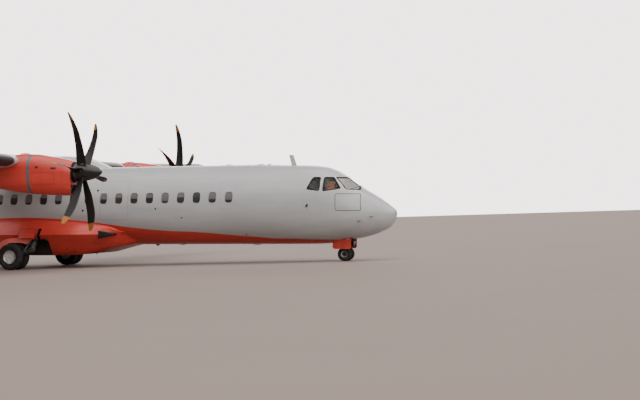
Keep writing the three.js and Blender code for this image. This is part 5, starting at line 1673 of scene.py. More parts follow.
# Spinner: distance ahead of the hub's plane, radius
SPINNER_TABLE = [(-0.24, 0.285), (0.0, 0.275), (0.22, 0.246), (0.4, 0.195), (0.53, 0.128), (0.6, 0.062)]


def blade_paint(name):
    """Charcoal blades: ochre past a reach from the hub, a worn metal guard along the leading edge."""
    s = Surface(name, Roughness=0.5, Specular_IOR_Level=0.3)
    c = colours()
    hub_z = float(placed(HUB_STATION, 0, HUB_HEIGHT)[2])
    out = ((abs(s.y) - NACELLE_Y) ** 2.0 + (s.z - hub_z) ** 2.0) ** 0.5
    grime = s.noise(9.0, 5, 0.6)
    base = s.mix(s.ramp(grime, 0.3, 0.7), tint(c.blade, 0.8), tint(c.blade, 1.5))
    base = s.mix(s.ramp(out, 1.7, 1.708), base, s.mix(grime, tint(c.tip, 0.85), tuple(c.tip)))
    guard = s.attribute("guard") * s.ramp(out, 0.75, 0.8) * (1 - s.ramp(out, 1.7, 1.708) * 0.7)
    base = s.mix(guard, base, (0.12, 0.12, 0.12))
    s.feed("Base Color", base)
    s.feed("Roughness", s.ramp(grime, 0.3, 0.7, 0.42, 0.6))
    s.bump(grime, 0.06, 0.002)
    return s


def blade_rings():
    """A blade standing up from the hub: lens sections with a blunter front, turned by the twist, in
    forward, sideways and outward lengths."""
    spans = (0.15, 0.6, 14), (0.64, 1.85, 34), (1.87, BLADE_REACH, 8)
    reach = np.concatenate([np.linspace(*span) for span in spans])
    rows = curve_through(BLADE_TABLE)(reach)
    chord, thickness, sweep, twist = (rows[:, i, None] for i in range(4))
    t = circle(40)[None]
    along = chord / 2 * np.cos(t)
    across = thickness / 2 * np.sin(t) * (1 + 0.25 * np.cos(t))
    across = across + thickness * 0.3 * (1 - np.cos(t) ** 2) * (chord > 0.2)
    turn = np.radians(twist)
    forward = along * np.cos(turn) - across * np.sin(turn) - sweep
    sideways = along * np.sin(turn) + across * np.cos(turn)
    return np.stack([forward, sideways, np.broadcast_to(reach[:, None], forward.shape)], -1)


def blade_front(points, side, middle):
    """1 on the leading edge of the blades: each point is turned back onto one upright blade, and its
    distance ahead of the blade's middle line is compared with the chord."""
    s, y, z = levelled(points)
    forward, y, z = HUB_STATION - s, y - middle, z - HUB_HEIGHT
    reach = np.hypot(y, z)
    turn = np.arctan2(-y, z) + PARKED_AZIMUTH[side]
    turn = turn - np.round(turn / (TAU / BLADE_COUNT)) * TAU / BLADE_COUNT
    chord, _, sweep, twist = np.moveaxis(curve_through(BLADE_TABLE)(np.clip(reach, 0.15, BLADE_REACH)), -1, 0)
    sideways, twist = -reach * np.sin(turn), np.radians(twist)
    along = (forward + sweep) * np.cos(twist) + sideways * np.sin(twist)
    return np.where(along / chord * 2 > 0.86, 1.0, 0.0)


BLADE_CUFF = [(0.075, 0), (0.078, 0.4), (0.066, 0.8), (0.058, 1)]
SPINNER_SEAM = [(0.2845, -0.172), (0.2865, -0.17), (0.2865, -0.166), (0.2835, -0.164), (0.2845, -0.172)]


def make_propeller(side, middle):
    """Blades, spinner with its seam, and the cuffs at the blades' roots."""
    blade, body = blade_rings(), f"propeller_{side}"
    hub, origin = placed(HUB_STATION, middle, HUB_HEIGHT), placed(0, 0, 0)
    blades, cuffs = [], []
    for k in range(BLADE_COUNT):
        turn = k * TAU / BLADE_COUNT - PARKED_AZIMUTH[side]
        c, s = math.cos(turn), math.sin(turn)
        y = blade[..., 1] * c - blade[..., 2] * s
        z = blade[..., 1] * s + blade[..., 2] * c
        blades += loft(placed(HUB_STATION - blade[..., 0], middle + y, HUB_HEIGHT + z))
        out = placed(0, -s, c) - origin
        cuffs += rod(hub + out * 0.255, hub + out * 0.3, BLADE_CUFF, 28)
    blades = piece(f"propeller_blades_{side}", blades, "blade_paint", body, [body], angle=50, weld=1e-7)
    mark(blades, "guard", lambda points: blade_front(points, side, middle))
    x = np.linspace(-0.225, 0.6, 40)
    rows = curve_through(SPINNER_TABLE)(x)[:, 0]
    tip = 0.6 + 0.025 * np.sin(np.linspace(0.2, 1, 8) * math.pi / 2)
    tip_radius = 0.062 * np.sqrt(1 - np.linspace(0.2, 1, 8) ** 2)
    profile = [(0, -0.24), (0.275, -0.24), (0.284, -0.236), *zip(rows, x), *zip(tip_radius, tip)]
    piece(f"spinner_{side}", turned(profile, hub, -AFT, 64), "spinner_paint", body)
    piece(f"blade_cuffs_{side}", cuffs, "black_metal", body)
    piece(f"spinner_seam_{side}", turned(SPINNER_SEAM, hub, -AFT, 64), "trim_grey", body, angle=60)


# Belly and landing-gear fairings

# Station, half width, crease height, top, bottom, half width of the floor
FAIRING_TABLE = np.array(
    [
        [8450, 860, 1150, 1165, 870, 420],
        [8850, 1060, 1150, 1175, 800, 700],
        [9150, 1270, 1150, 1330, 745, 900],
        [9600, 1520, 1150, 1470, 650, 1050],
        [10400, 1780, 1150, 1590, 480, 1250],
        [11200, 1900, 1150, 1650, 455, 1380],
        [12000, 1940, 1150, 1700, 452, 1420],
        [13400, 1940, 1150, 1700, 452, 1420],
        [14600, 1840, 1150, 1640, 470, 1300],
        [15700, 1560, 1150, 1500, 590, 1050],
        [16600, 1200, 1150, 1290, 740, 800],
        [17000, 1030, 1150, 1170, 810, 650],
        [17400, 850, 1150, 1160, 880, 400],
    ]
) / 1000
fairing_rows = curve_through(FAIRING_TABLE)
WELL_INNER, WELL_OUTER = 1.4, 2.5
# Arch over the main wheels: station, height
WHEEL_WELL = np.array(
    [
        [13110, 300],
        [13075, 530],
        [12980, 700],
        [12820, 830],
        [12600, 930],
        [12130, 995],
        [11390, 1013],
        [11330, 950],
        [11330, 300],
    ]
) / 1000
# Room round the main gear's leg: distance to port, height
LEG_ROOM = np.array([[1400, 900], [1840, 900], [1850, 1150], [1690, 1330], [1400, 1345]]) / 1000
LEG_ROOM_STATIONS, LEG_GAP = (11.59, 12.32), (11.59, 11.7)
# Hood over the arch, from its proud edge up to the skin: station and height of each
ARCH_LIP = np.array(
    [
        [13.17, 0.5, 13.33, 0.66],
        [13.1, 0.61, 13.24, 0.78],
        [12.98, 0.715, 13.1, 0.9],
        [12.82, 0.815, 12.92, 0.98],
        [12.62, 0.885, 12.69, 1.03],
        [12.3, 0.885, 12.35, 1.05],
        [12.04, 0.84, 12.04, 1.045],
        [11.93, 0.93, 11.9, 1.04],
        [11.8, 0.995, 11.78, 1.035],
    ]
)
LIP_PROUD = 0.15


def cubic(points, steps=15):
    """A curve through four points: their sum weighted by Lagrange's polynomials of an even parameter."""
    t, nodes = np.linspace(0, 1, steps), (0, 1 / 3, 2 / 3, 1)
    weights = [np.prod([(t - m) / (k - m) for m in nodes if m != k], 0) for k in nodes]
    return sum(p[..., None, :] * w[:, None] for p, w in zip(points, weights))


def fairing_half(station):
    """Port half of the fairing's section from the top down to the floor: one cubic above the crease and
    one below it."""
    half, crease, top, bottom, floor = np.moveaxis(fairing_rows(station), -1, 0)
    corners = [
        (1.0 + 0 * half, top - 0.02),
        (np.minimum(1.3, half - 0.06), top),
        ((1.3 + half) / 2 + 0.02, top * 0.45 + crease * 0.55 + 0.06),
        (half, crease),
        ((half * 2 + floor) / 3, (crease * 2 + bottom) / 3 - 0.06),
        ((half + floor * 2) / 3, (crease + bottom * 2) / 3 - 0.08),
        (floor, bottom),
    ]
    corners = [np.stack(pair, -1) for pair in corners]
    return np.concatenate([cubic(corners[:4])[..., :-1, :], cubic(corners[3:])], -2)


def fairing_side(station, height, way, inset=0.0):
    """The fairing's skin at a station and a height, read between two points of its section."""
    station, height = np.broadcast_arrays(np.asarray(station, float), height)
    curve = fairing_half(station)
    after = np.clip(np.argmax(curve[..., 1] <= height[..., None], -1), 1, curve.shape[-2] - 1)
    take = lambda k, i: np.take_along_axis(curve[..., i], k[..., None], -1)[..., 0]
    (y0, y1), (z0, z1) = ((take(after - 1, i), take(after, i)) for i in (0, 1))
    share = np.clip((z0 - height) / (z0 - z1), 0, 1)
    return placed(station, way * (y0 + (y1 - y0) * share - inset), height)


def fairing_paint(name):
    """Red with access panel seams, fasteners, and oil and dirt low down."""
    s = Surface(name, Roughness=0.36, **GLOSS)
    red = tuple(colours().red)
    streaks = s.noise(1.0, 4, 0.6, stretch=(0.5, 3.0, 3.0))
    grime = s.noise(6.0, 5, 0.62)
    seams = s.x.wave(0.74).band(0, 0.003, 0.005).most((s.z - 0.78).wave(0.42).band(0, 0.003, 0.005))
    studs = s.x.wave(0.09).band(0, 0.005, 0.004) * (s.z - 0.74).wave(0.42).band(0, 0.005, 0.004)
    base = s.mix(s.ramp(streaks, 0.3, 0.7), tint(red, 0.86), tint(red, 1.08))
    base = s.mix(seams * 0.35, base, (0.05, 0.02, 0.02))
    low = s.ramp(s.z, 1.1, 0.5) * s.ramp(grime, 0.42, 0.7)
    base = s.mix(low * 0.45, base, (0.05, 0.03, 0.025))
    s.feed("Base Color", base)
    s.feed("Roughness", s.ramp(grime, 0.3, 0.7, 0.3, 0.48))
    s.bump(studs * 0.5 - seams * 0.6 + streaks * 0.08, 0.22, 0.004)
    return s


def make_fairings():
    """Fairings with the wheel arches and the leg rooms cut into one skin."""
    front, middle, back = (8.45, 10.4, 34), (10.4, 14.6, 36), (14.6, 17.4, 40)
    stations = np.concatenate([np.linspace(*front)[:-1], np.linspace(*middle)[:-1], np.linspace(*back)])
    half = fairing_half(stations)
    ring = np.concatenate([half, half[:, ::-1] * [-1, 1]], 1)
    skin = loft(placed(stations[:, None], ring[..., 0], ring[..., 1]))
    skin = piece("fairing_skin", skin, "fairing_red", angle=32)
    cutters = []
    arch = resampled(rounded(WHEEL_WELL, 0.07), 0.05)
    for _, way in SIDES:
        cutters.append(side_prism(arch, (way * WELL_INNER, way * WELL_OUTER)))
        cutters.append(front_prism(LEG_ROOM * [way, 1], LEG_ROOM_STATIONS))
        ys = sorted((way * WELL_INNER, way * WELL_OUTER))
        cutters.append(box(placed, (LEG_GAP[0], ys[0], 0.9), (LEG_GAP[1], ys[1], LEG_ROOM[-1, 1])))
    # The cut faces of the arches, leg rooms and leg gaps are painted near-black: painted shade
    carve(skin, cutters, angle=32, inside="well_dark")
    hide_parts("belly_fairing", "gear_fairing_left", "gear_fairing_right")
    make_fairing_details()


def make_fairing_details():
    """Well liners in a dark red-brown that paints shade into the wells, the legs' doors, air scoops, drain
    outlets and the seams beside the belly.
    """
    arch = rounded(WHEEL_WELL[1:-1] + np.array([-0.004, -0.006]), 0.07)[3:-3]
    s, z = arch[None, :, 0], arch[None, :, 1]
    lip = bend(ARCH_LIP, 50)[:, None]
    share = np.linspace(0, 1, 7)[None, :, None]
    flat = lip[..., :2] * (1 - share) + lip[..., 2:] * share
    proud = LIP_PROUD * (1 - share[..., 0]) + 0 * flat[..., 0]
    outline = block((11.74, 1.035), (12.32, 1.345), 0.03, 0.03)
    hatch = resampled(rounded([(13.6, 0.72), (14.3, 0.74), (14.3, 1.05), (13.6, 1.05)], 0.05), 0.03)
    for side, way in SIDES:
        place = lambda s, z, inset, w=way: fairing_side(s, z, w, inset)
        leaning = lambda s, z, inset, w=way: placed(s, w * (1.835 + (1.345 - z) * 0.6 - inset), z)
        # Dark red-brown sheets lining the arches: painted shade in the wheel wells
        ys = way * np.linspace(WELL_INNER + 0.006, 1.885, 6)[:, None]
        liner = between(placed(s, ys, z), placed(s, ys, z - 0.012))
        piece(f"well_liner_{side}", liner, "well_liner", angle=50)
        # The hood is painted a paler red than the fairing: a painted highlight on its upper face
        hood = between(place(*flat.T, -proud.T), place(*flat.T, 0.014 - proud.T))
        piece(f"arch_lip_{side}", hood, "lip_red", angle=50)
        piece(f"leg_door_{side}", plate(outline, leaning, 0.0, 0.012), "fairing_red")
        seam(f"leg_door_seam_{side}", outline, (0.012, 0.001, 0.008), leaning, "seam_red")
        hinges = []
        for station in (11.85, 12.2):
            ends = (place(station + reach, 1.352, -0.004) for reach in (-0.04, 0.04))
            hinges += plain_rod(*ends, 0.009, 12)
        piece(f"leg_door_hinges_{side}", hinges, "hinge_metal")
        wedge = [(9.14, 1.12), (9.14, 1.18), (9.67, 1.27), (9.67, 1.0)]
        scoop = side_prism(wedge, (way * 1.2, way * 1.56))
        bevelled(piece(f"side_scoop_{side}", scoop, "black_metal"), 0.02, 3)
        seam(f"fairing_hatch_{side}", hatch, (0.008, 0.0012, 0.004), place, "seam_red")
    ports = []
    for station, y in ((10.6, 0.4), (11.0, -0.5), (14.2, 0.3), (14.9, -0.2)):
        base = placed(station, y, fairing_rows(station)[3] + 0.004)
        ports += rod(base, base + np.array([-0.03, 0, -0.05]), [(0.018, 0), (0.016, 0.8), (0.012, 1)], 14)
    piece("drain_masts", ports, "black_metal")


# Wheels and landing gear

MAIN_TYRE = {"radius": 0.432, "width": 0.254, "spacing": 0.215, "rim": 0.205, "axle": 0.046, "track": 2.05}
NOSE_TYRE = {"radius": 0.225, "width": 0.19, "spacing": 0.2, "rim": 0.098, "axle": 0.026, "track": 0.0}


def tyre_profile(size, corners=16):
    """Closed section of a tyre, as radii and distances along the axle: a super-ellipse between the bead
    and the tread, flatter under the tread and drawn in at the bead."""
    t = np.arange(corners + 1) * TAU / corners
    middle, rise = (size["radius"] + size["rim"]) / 2, (size["radius"] - size["rim"]) / 2
    r = middle + rise * signed_power(np.sin(t), 0.62)
    draw = np.where(r < middle, 1 - 0.3 * ((middle - r) / rise) ** 2, 1)
    x = size["width"] / 2 * signed_power(np.cos(t), 0.68) * draw
    return np.stack([r, x], -1)


def tyre_paint(name, x, size):
    """Tyre rubber: tread grooves round the axle, their colour near-black as painted shade, ribs on the
    shoulder, and dust.
    """
    s = Surface(name, Roughness=0.8, Specular_IOR_Level=0.3)
    radius = size["radius"]
    out = ((s.x - x) ** 2.0 + (s.z - radius) ** 2.0) ** 0.5
    across = abs(abs(abs(s.y) - size["track"]) - size["spacing"])
    tread = s.ramp(out, radius - 0.03, radius - 0.022)
    grooves = across.wave(radius * 0.12).band(0, 0.004, 0.002) * tread
    ribs = out.wave(0.028).band(0, 0.0012, 0.002) * (1 - tread)
    dust = s.noise(9.0, 5, 0.65)
    base = s.mix(s.ramp(dust, 0.35, 0.75), (0.014, 0.014, 0.014), (0.045, 0.042, 0.038))
    # The grooves are painted near-black: painted shade in the tread's recesses
    base = s.mix(grooves * 0.8, base, (0.004, 0.004, 0.004))
    s.feed("Base Color", base)
    s.feed("Roughness", s.ramp(dust, 0.3, 0.7, 0.66, 0.9))
    s.bump(ribs * 0.3 - grooves + dust * 0.1, 0.5, 0.006)
    return s


# Hub's outer face, then its inner face: share of the rim's radius, share of half the tyre's width
HUB_FACES = [(0, 0.42), (0.16, 0.42), (0.2, 0.3), (0.26, 0.22), (0.42, 0.2), (0.56, 0.24), (0.62, 0.36)]
HUB_FACES += [(0.7, 0.4), (0.86, 0.42), (0.93, 0.62), (1.0, 0.72), (1.06, 0.74)]
HUB_FACES += [(1.06, -0.72), (0.98, -0.7), (0.94, -0.5), (0.8, -0.3), (0.5, -0.24), (0.3, -0.3), (0, -0.3)]
RIM_RING = [(0.93, 0.6), (1.03, 0.73), (1.03, 0.78), (0.91, 0.66), (0.93, 0.6)]
# Brake drum: share of the rim's radius, share of its length
BRAKE_DRUM = [(0.72, 0), (0.76, 0.1), (0.76, 0.9), (0.7, 1)]


def hub_profile(size, way):
    """Dished hub: from the axle out over a flange and back up to the rim, on both faces."""
    r, w, c = size["rim"], size["width"] / 2, size["spacing"]
    return [(share * r, way * (c + x * w)) for share, x in HUB_FACES]


def hub_bolts(size, way, centre, count):
    """A ring of bolt heads on the hub's flange."""
    r, w, c = size["rim"], size["width"] / 2, size["spacing"]
    bolts = []
    for turn in circle(count):
        spoke = [math.cos(turn) * 0.76 * r, way * (c + 0.4 * w), math.sin(turn) * 0.76 * r]
        at = np.asarray(centre) + spoke
        head = [(0.05 * r, 0), (0.05 * r, 0.7), (0.035 * r, 1)]
        bolts += rod(at, at + np.array([0, way * 0.14 * w, 0]), head, 8)
    return bolts


def make_wheels(name, size, centre, steps, corners):
    """Twin tyres, hubs, bolts, brake drums and the axle between them, all turning together."""
    main = size is MAIN_TYRE
    centre, axis = np.array(centre), np.array([0, 1, 0])
    rim, width, spacing = size["rim"], size["width"], size["spacing"]
    inner = spacing - width * 0.22
    axle = plain_rod(centre - axis * inner, centre + axis * inner, size["axle"], 24)
    tyres, hubs, bolts = [], [], []
    for way in (1, -1):
        tyres += turned(tyre_profile(size, corners), centre + axis * way * spacing, axis, steps)
        hubs += turned(hub_profile(size, way), centre, axis, 48)
        bolts += hub_bolts(size, way, centre, 12)
        ring = [(r * rim, way * (spacing + x * width / 2)) for r, x in RIM_RING]
        bolts += turned(ring, centre, axis, 48)
        start = centre + axis * way * (spacing - width * 0.4)
        axle += rod(start, start + axis * way * width * 0.2, [(rim * r, x) for r, x in BRAKE_DRUM], 40)
    piece(f"{name}_tyres", tyres, "main_tyre_rubber" if main else "nose_tyre_rubber", name, [name], angle=70)
    piece(f"{name}_hubs", hubs, "hub_paint" if main else "nose_hub_paint", name, angle=28)
    piece(f"{name}_bolts", bolts, "bare_steel" if main else "pale_rim", name)
    piece(f"{name}_axle", axle, "bare_steel", name)


# Rods of the main gear: radius and share of the length
MAIN_LEG = [(0.088, 0), (0.096, 0.05), (0.084, 0.12), (0.08, 0.45), (0.088, 0.5), (0.088, 0.56), (0.084, 0.6)]
MAIN_LEG += [(0.094, 0.9), (0.1, 1)]
MAIN_ARM = [(0.074, 0), (0.07, 0.15), (0.058, 0.4), (0.054, 0.7), (0.058, 0.9), (0.066, 1)]
MAIN_KNUCKLE = [(0.06, -0.04), (0.06, 0), (0.09, 0.01), (0.098, 0.08), (0.098, 0.92), (0.09, 0.99)]
MAIN_KNUCKLE += [(0.06, 1.0), (0.06, 1.04)]
TRUNNION = [(0.05, 0), (0.066, 0.02), (0.07, 0.06), (0.07, 0.3), (0.078, 0.32), (0.078, 0.46), (0.07, 0.48)]
TRUNNION += [(0.07, 0.94), (0.066, 0.98), (0.05, 1)]
MAIN_DAMPER = [(0.044, 0), (0.05, 0.05), (0.048, 0.3), (0.052, 0.34), (0.052, 0.9), (0.044, 1)]
MAIN_PISTON = [(0.044, 0), (0.046, 0.08), (0.028, 0.16), (0.028, 1)]
CLAMP = [(0.094, 0), (0.098, 0.2), (0.098, 0.8), (0.094, 1)]
# Brake pipe: forward of the axle, outward of the track, height
BRAKE_PIPE = [(0.62, 0.06, 0.7), (0.4, 0.075, 0.64), (0.2, 0.07, 0.57), (0.07, 0.05, 0.53)]
BRAKE_PIPE += [(0.0, 0.035, 0.52)]


def eye(bore, outer, half, bevel):
    """Section of an eye round an axle: its bore, outer radius, half length and rounding."""
    lip = outer - bevel[0]
    flank = half - bevel[1]
    way_out = [(bore, -half), (lip, -half), (outer, -flank)]
    return [*way_out, *((r, -x) for r, x in way_out[::-1]), way_out[0]]


def make_main_gear():
    """Legs with a trailing arm, a damper, pipes and clamps, and the wheels."""
    track = MAIN_TYRE["track"]
    for side, way in SIDES:
        p = lambda forward, y, z, w=way: grounded(forward, w * y, z)
        make_wheels(f"main_wheels_{side}", MAIN_TYRE, p(0, track, MAIN_TYRE["radius"]), 36, 16)
        foot, top = p(0.67, track, 0.65), p(0.6, 1.475, 1.2)
        leg = rod(foot, top, MAIN_LEG, 36)
        leg += rod(p(0.66, track, 0.64), p(0.06, track, 0.444), MAIN_ARM, 32)
        section = eye(MAIN_TYRE["axle"] + 0.004, 0.095, 0.055, (0.007, 0.01))
        joints = turned(section, p(0, track, 0.432), (0, 1, 0), 40)
        joints += rod(p(0.67, track - 0.085, 0.65), p(0.67, track + 0.085, 0.65), MAIN_KNUCKLE, 36)
        joints += rod(p(0.872, 1.53, 1.19), p(0.168, 1.53, 1.19), TRUNNION, 32)
        joints += rod(p(0.56, 1.755, 1.045), p(0.59, 1.53, 1.15), [(0.05, 0), (0.052, 0.3), (0.06, 1)], 24)
        # The main legs, knuckles, damper, piston and clamps are painted far darker than the nose gear's metal:
        # painted shade under the fairing
        piece(f"main_leg_{side}", leg, "main_leg_metal", replaces=[f"main_gear_leg_{side}"])
        piece(f"main_knuckles_{side}", joints, "main_leg_metal")
        low, high = p(0.33, track, 0.545), p(0.56, 1.74, 1.04)
        mid = low + (high - low) * 0.46
        piece(f"main_damper_{side}", rod(mid, high, MAIN_DAMPER, 28), "main_leg_metal")
        piece(f"main_piston_{side}", rod(low, mid + (high - low) * 0.03, MAIN_PISTON, 28), "oiled_steel")
        a, b = p(0.705, track - 0.02, 0.73), p(0.665, 1.56, 1.17)
        sag = np.linspace(0, 1, 14)[:, None]
        line = a + (b - a) * sag + np.array([0.05, 0, 0.02]) * np.sin(sag * math.pi)
        brake = bend([p(forward, track + out, z) for forward, out, z in BRAKE_PIPE], 24)
        pipes = tube(line, 0.008, 10) + tube(line + np.array([0.022, 0, 0.008]), 0.006, 10)
        pipes += tube(brake, 0.007, 10)
        piece(f"main_pipes_{side}", pipes, "black_metal")
        reach = (b - a) / np.linalg.norm(b - a) * 0.015
        clamps = []
        for share in (0.2, 0.45, 0.75):
            at = foot + (top - foot) * (share * 0.85 + 0.1)
            clamps += rod(at - reach, at + reach, CLAMP, 32)
        piece(f"main_clamps_{side}", clamps, "oiled_steel")


NOSE_LEG = 10.77


def nose_place(forward, y, z):
    """Nose gear axes: a length forward of the nose axle, a length to port and a height."""
    return grounded(NOSE_LEG + forward, y, z)


# Rods of the nose gear: radius and share of the length
NOSE_COLLAR = [(0.062, 0), (0.078, 0.12), (0.078, 0.4), (0.07, 0.46), (0.07, 0.54), (0.078, 0.6)]
NOSE_COLLAR += [(0.078, 0.92), (0.07, 1)]
NOSE_STRUT = [(0.06, 0), (0.07, 0.02), (0.07, 0.06), (0.062, 0.08), (0.062, 0.3), (0.07, 0.32), (0.07, 0.4)]
NOSE_STRUT += [(0.066, 0.42), (0.066, 0.9), (0.07, 1)]
NOSE_CROSS = [(0.034, 0), (0.048, 0.02), (0.048, 0.1), (0.038, 0.12), (0.038, 0.42), (0.048, 0.44)]
NOSE_CROSS += [(0.048, 0.56), (0.038, 0.58), (0.038, 0.88), (0.048, 0.9), (0.048, 0.98), (0.034, 1)]
STEERING_JACK = [(0.02, 0), (0.026, 0.05), (0.026, 0.6), (0.014, 0.65), (0.014, 1)]
NOSE_HOSE = [(0.075, 0.02, 0.6), (0.1, 0.03, 0.75), (0.085, 0.02, 0.95), (0.09, 0.0, 1.15)]
LAMP_SHELL = [(0.074, 0.04), (0.074, 0), (0.084, 0.0), (0.084, 0.12), (0.074, 0.3), (0.066, 0.7)]
LAMP_SHELL += [(0.05, 0.95), (0.03, 1)]
LAMP_LENS = [(0.03, -0.12), (0.06, 0.0), (0.073, 0.3), (0.073, 1)]
# Pins of the torque links: forward of the axle, height, radius
TORQUE_PINS = [(-0.19, 0.375, 0.022), (-0.05, 0.29, 0.018), (-0.066, 0.5, 0.018)]


def make_nose_gear():
    """Steered fork with its wheels and torque links, the leg with its braces, jacks, lamps and doors."""
    metal, steel, turning = "gear_metal", "bare_steel", "nose_steering"
    p = nose_place
    make_wheels("nose_wheels", NOSE_TYRE, p(0, 0, NOSE_TYRE["radius"]), 24, 12)
    piston = rod(p(0, 0, 0.545), p(0, 0, 0.225), [(0.044, 0), (0.044, 0.75), (0.046, 0.8), (0.046, 1)], 32)
    bore = NOSE_TYRE["axle"] + 0.004
    lower = piece("nose_fork_tube", piston, steel, turning, ["nose_gear_fork"])
    carve(lower, [plain_rod(p(0, -0.1, 0.225), p(0, 0.1, 0.225), bore, 24)])
    section = eye(bore, 0.056, 0.062, (0.006, 0.007))
    piece("nose_fork_eye", turned(section, p(0, 0, 0.225), (0, 1, 0), 36), metal, turning)
    links = []
    for low, high in ((p(-0.04, 0, 0.285), p(-0.19, 0, 0.375)), (p(-0.19, 0, 0.375), p(-0.06, 0, 0.505))):
        for apart in (np.array([0, 0.016, 0]), np.array([0, -0.016, 0])):
            links += rod(low + apart, high + apart, [(0.013, 0), (0.011, 0.5), (0.013, 1)], 14)
    for forward, z, radius in TORQUE_PINS:
        links += plain_rod(p(forward, -0.034, z), p(forward, 0.034, z), radius, 20)
    piece("torque_links", links, metal, turning)
    piece("steering_collar", rod(p(0, 0, 0.47), p(0, 0, 0.545), NOSE_COLLAR, 36), metal, turning)
    strut = rod(p(0, 0, 0.55), p(0, 0, 1.2), NOSE_STRUT, 36)
    cross = rod(p(-0.01, -0.395, 1.08), p(-0.01, 0.395, 1.08), NOSE_CROSS, 28)
    brace = rod(p(0, 0, 0.76), p(-0.33, 0, 1.09), [(0.034, 0), (0.03, 0.1), (0.026, 0.5), (0.034, 1)], 24)
    piece("nose_leg", strut, metal, replaces=["nose_gear_strut"])
    piece("nose_leg_braces", cross + brace, metal)
    jacks = []
    for y in (0.085, -0.085):
        jacks += rod(p(0.03, y, 0.62), p(-0.09, y, 0.62), STEERING_JACK, 20)
    piece("steering_jacks", jacks, steel)
    piece("nose_pipes", tube(bend([p(*place) for place in NOSE_HOSE], 24), 0.008, 10), "black_metal")
    shells, lenses = [], []
    for y in (0.095, -0.095):
        shells += rod(p(0.3, y, 0.56), p(0.15, y, 0.56), LAMP_SHELL, 36)
        lenses += rod(p(0.298, y, 0.56), p(0.27, y, 0.56), LAMP_LENS, 36)
    shells += rod(p(0.19, -0.1, 0.56), p(0.19, 0.1, 0.56), [(0.03, 0), (0.03, 1)], 20)
    shells += rod(p(0.19, 0, 0.58), p(0.071, 0, 0.58), [(0.026, 0), (0.02, 0.4), (0.026, 1)], 20)
    piece("taxi_lamp_shells", shells, "black_metal", replaces=["taxi_lights"])
    piece("taxi_lamp_lenses", lenses, "taxi_glass")
    make_nose_doors()


NOSE_DOOR_STATIONS, NOSE_DOOR_HEIGHTS = (1.425, 2.035), (0.625, 1.0)


def make_nose_doors():
    """Doors of the nose wheel bay: thin curved panels with ribs inside, on two lugs each."""
    (a, b), (c, d) = NOSE_DOOR_STATIONS, NOSE_DOOR_HEIGHTS
    s, z = grid((a, b), (c, d), 26, 18)
    corner = np.minimum(np.minimum(s - a, b - s) + 0.02, 0.08)
    low = c + (0.08 - corner) * 0.6
    z = low + (z - c) / (d - c) * (d - low)
    bulge = 0.004 * np.cos((z - 0.8) / (d - c) * math.pi)
    for side, way in SIDES:
        panel = between(placed(s, way * (0.4 + bulge), z), placed(s, way * 0.391, z))
        piece(f"nose_door_{side}", panel, "fairing_red", replaces=[f"nose_gear_door_{side}"])
        near, far = sorted((way * 0.388, way * 0.3915))
        ribs = []
        for station in (1.5, 1.66, 1.82, 1.97):
            ribs += box(placed, (station - 0.006, near, 0.68), (station + 0.006, far, 0.98))
        ribs += box(placed, (1.46, near, 0.8), (2.0, far, 0.812))
        for station in (1.52, 1.94):
            lug = [(way * 0.4, 0.93), (way * 0.419, 0.93), (way * 0.419, 0.985), (way * 0.4, 0.985)]
            ribs += front_prism(lug, (station - 0.02, station + 0.02))
        piece(f"nose_door_ribs_{side}", ribs, "gear_metal")


# Small fittings


def mast(stations, tops, half, place):
    """A blade aerial's solid: lens sections from its foot to its head, which is swept aft."""
    (a, b), (c, d) = stations
    t = circle(24)
    share = np.array([0, 0.3, 0.6, 0.85, 0.95, 1.0])[:, None]
    width = np.array([1, 0.9, 0.75, 0.6, 0.45, 0.15])[:, None]
    s = (a + (c - a) * share) * (1 - np.cos(t)) / 2 + (b + (d - b) * share) * (1 + np.cos(t)) / 2
    return loft(place(s, half * width * np.sin(t), tops[0] + (tops[1] - tops[0]) * share + 0 * s))


def dome(centre, radii, up):
    """A low dome standing on a skin, upwards or downwards."""
    points = ellipsoid(centre, radii[:2] + (up * radii[2],), 12, 33, 0.0)[0][0].reshape(12, 32, 3)
    return [sheet(points, True), lid(points[0])]


# Flat aerials on the roof: station, height, radii
ROOF_AERIALS = [(5.65, 3.385, (0.14, 0.11, 0.03)), (4.55, 3.38, (0.15, 0.1, 0.035))]
ROOF_AERIALS += [(4.26, 3.373, (0.08, 0.06, 0.04)), (15.9, 3.388, (0.18, 0.12, 0.03))]
NOSE_HATCH = [(1.767, 2.39), (1.04, 2.386), (0.981, 1.856), (1.753, 1.863)]
EXIT_FRAME = [(5.02, 1.95), (5.5, 1.95), (5.5, 2.86), (5.02, 2.86)]
ICE_PLATE = [(8.68, 1.62), (9.66, 1.62), (9.66, 2.89), (8.68, 2.89)]
# Strips round them: corners, rounding and step, the strip's section, finish
SIDE_SEAMS = {
    "nose_hatch": (NOSE_HATCH, 0.05, 0.03, (0.02, 0.0012, 0.004), "seam_grey"),
    "exit_frame": (EXIT_FRAME, 0.08, 0.04, (0.01, 0.001, 0.004), "faint_trim"),
    "ice_plate": (ICE_PLATE, 0.06, 0.05, (0.016, 0.0012, 0.004), "faint_trim"),
}


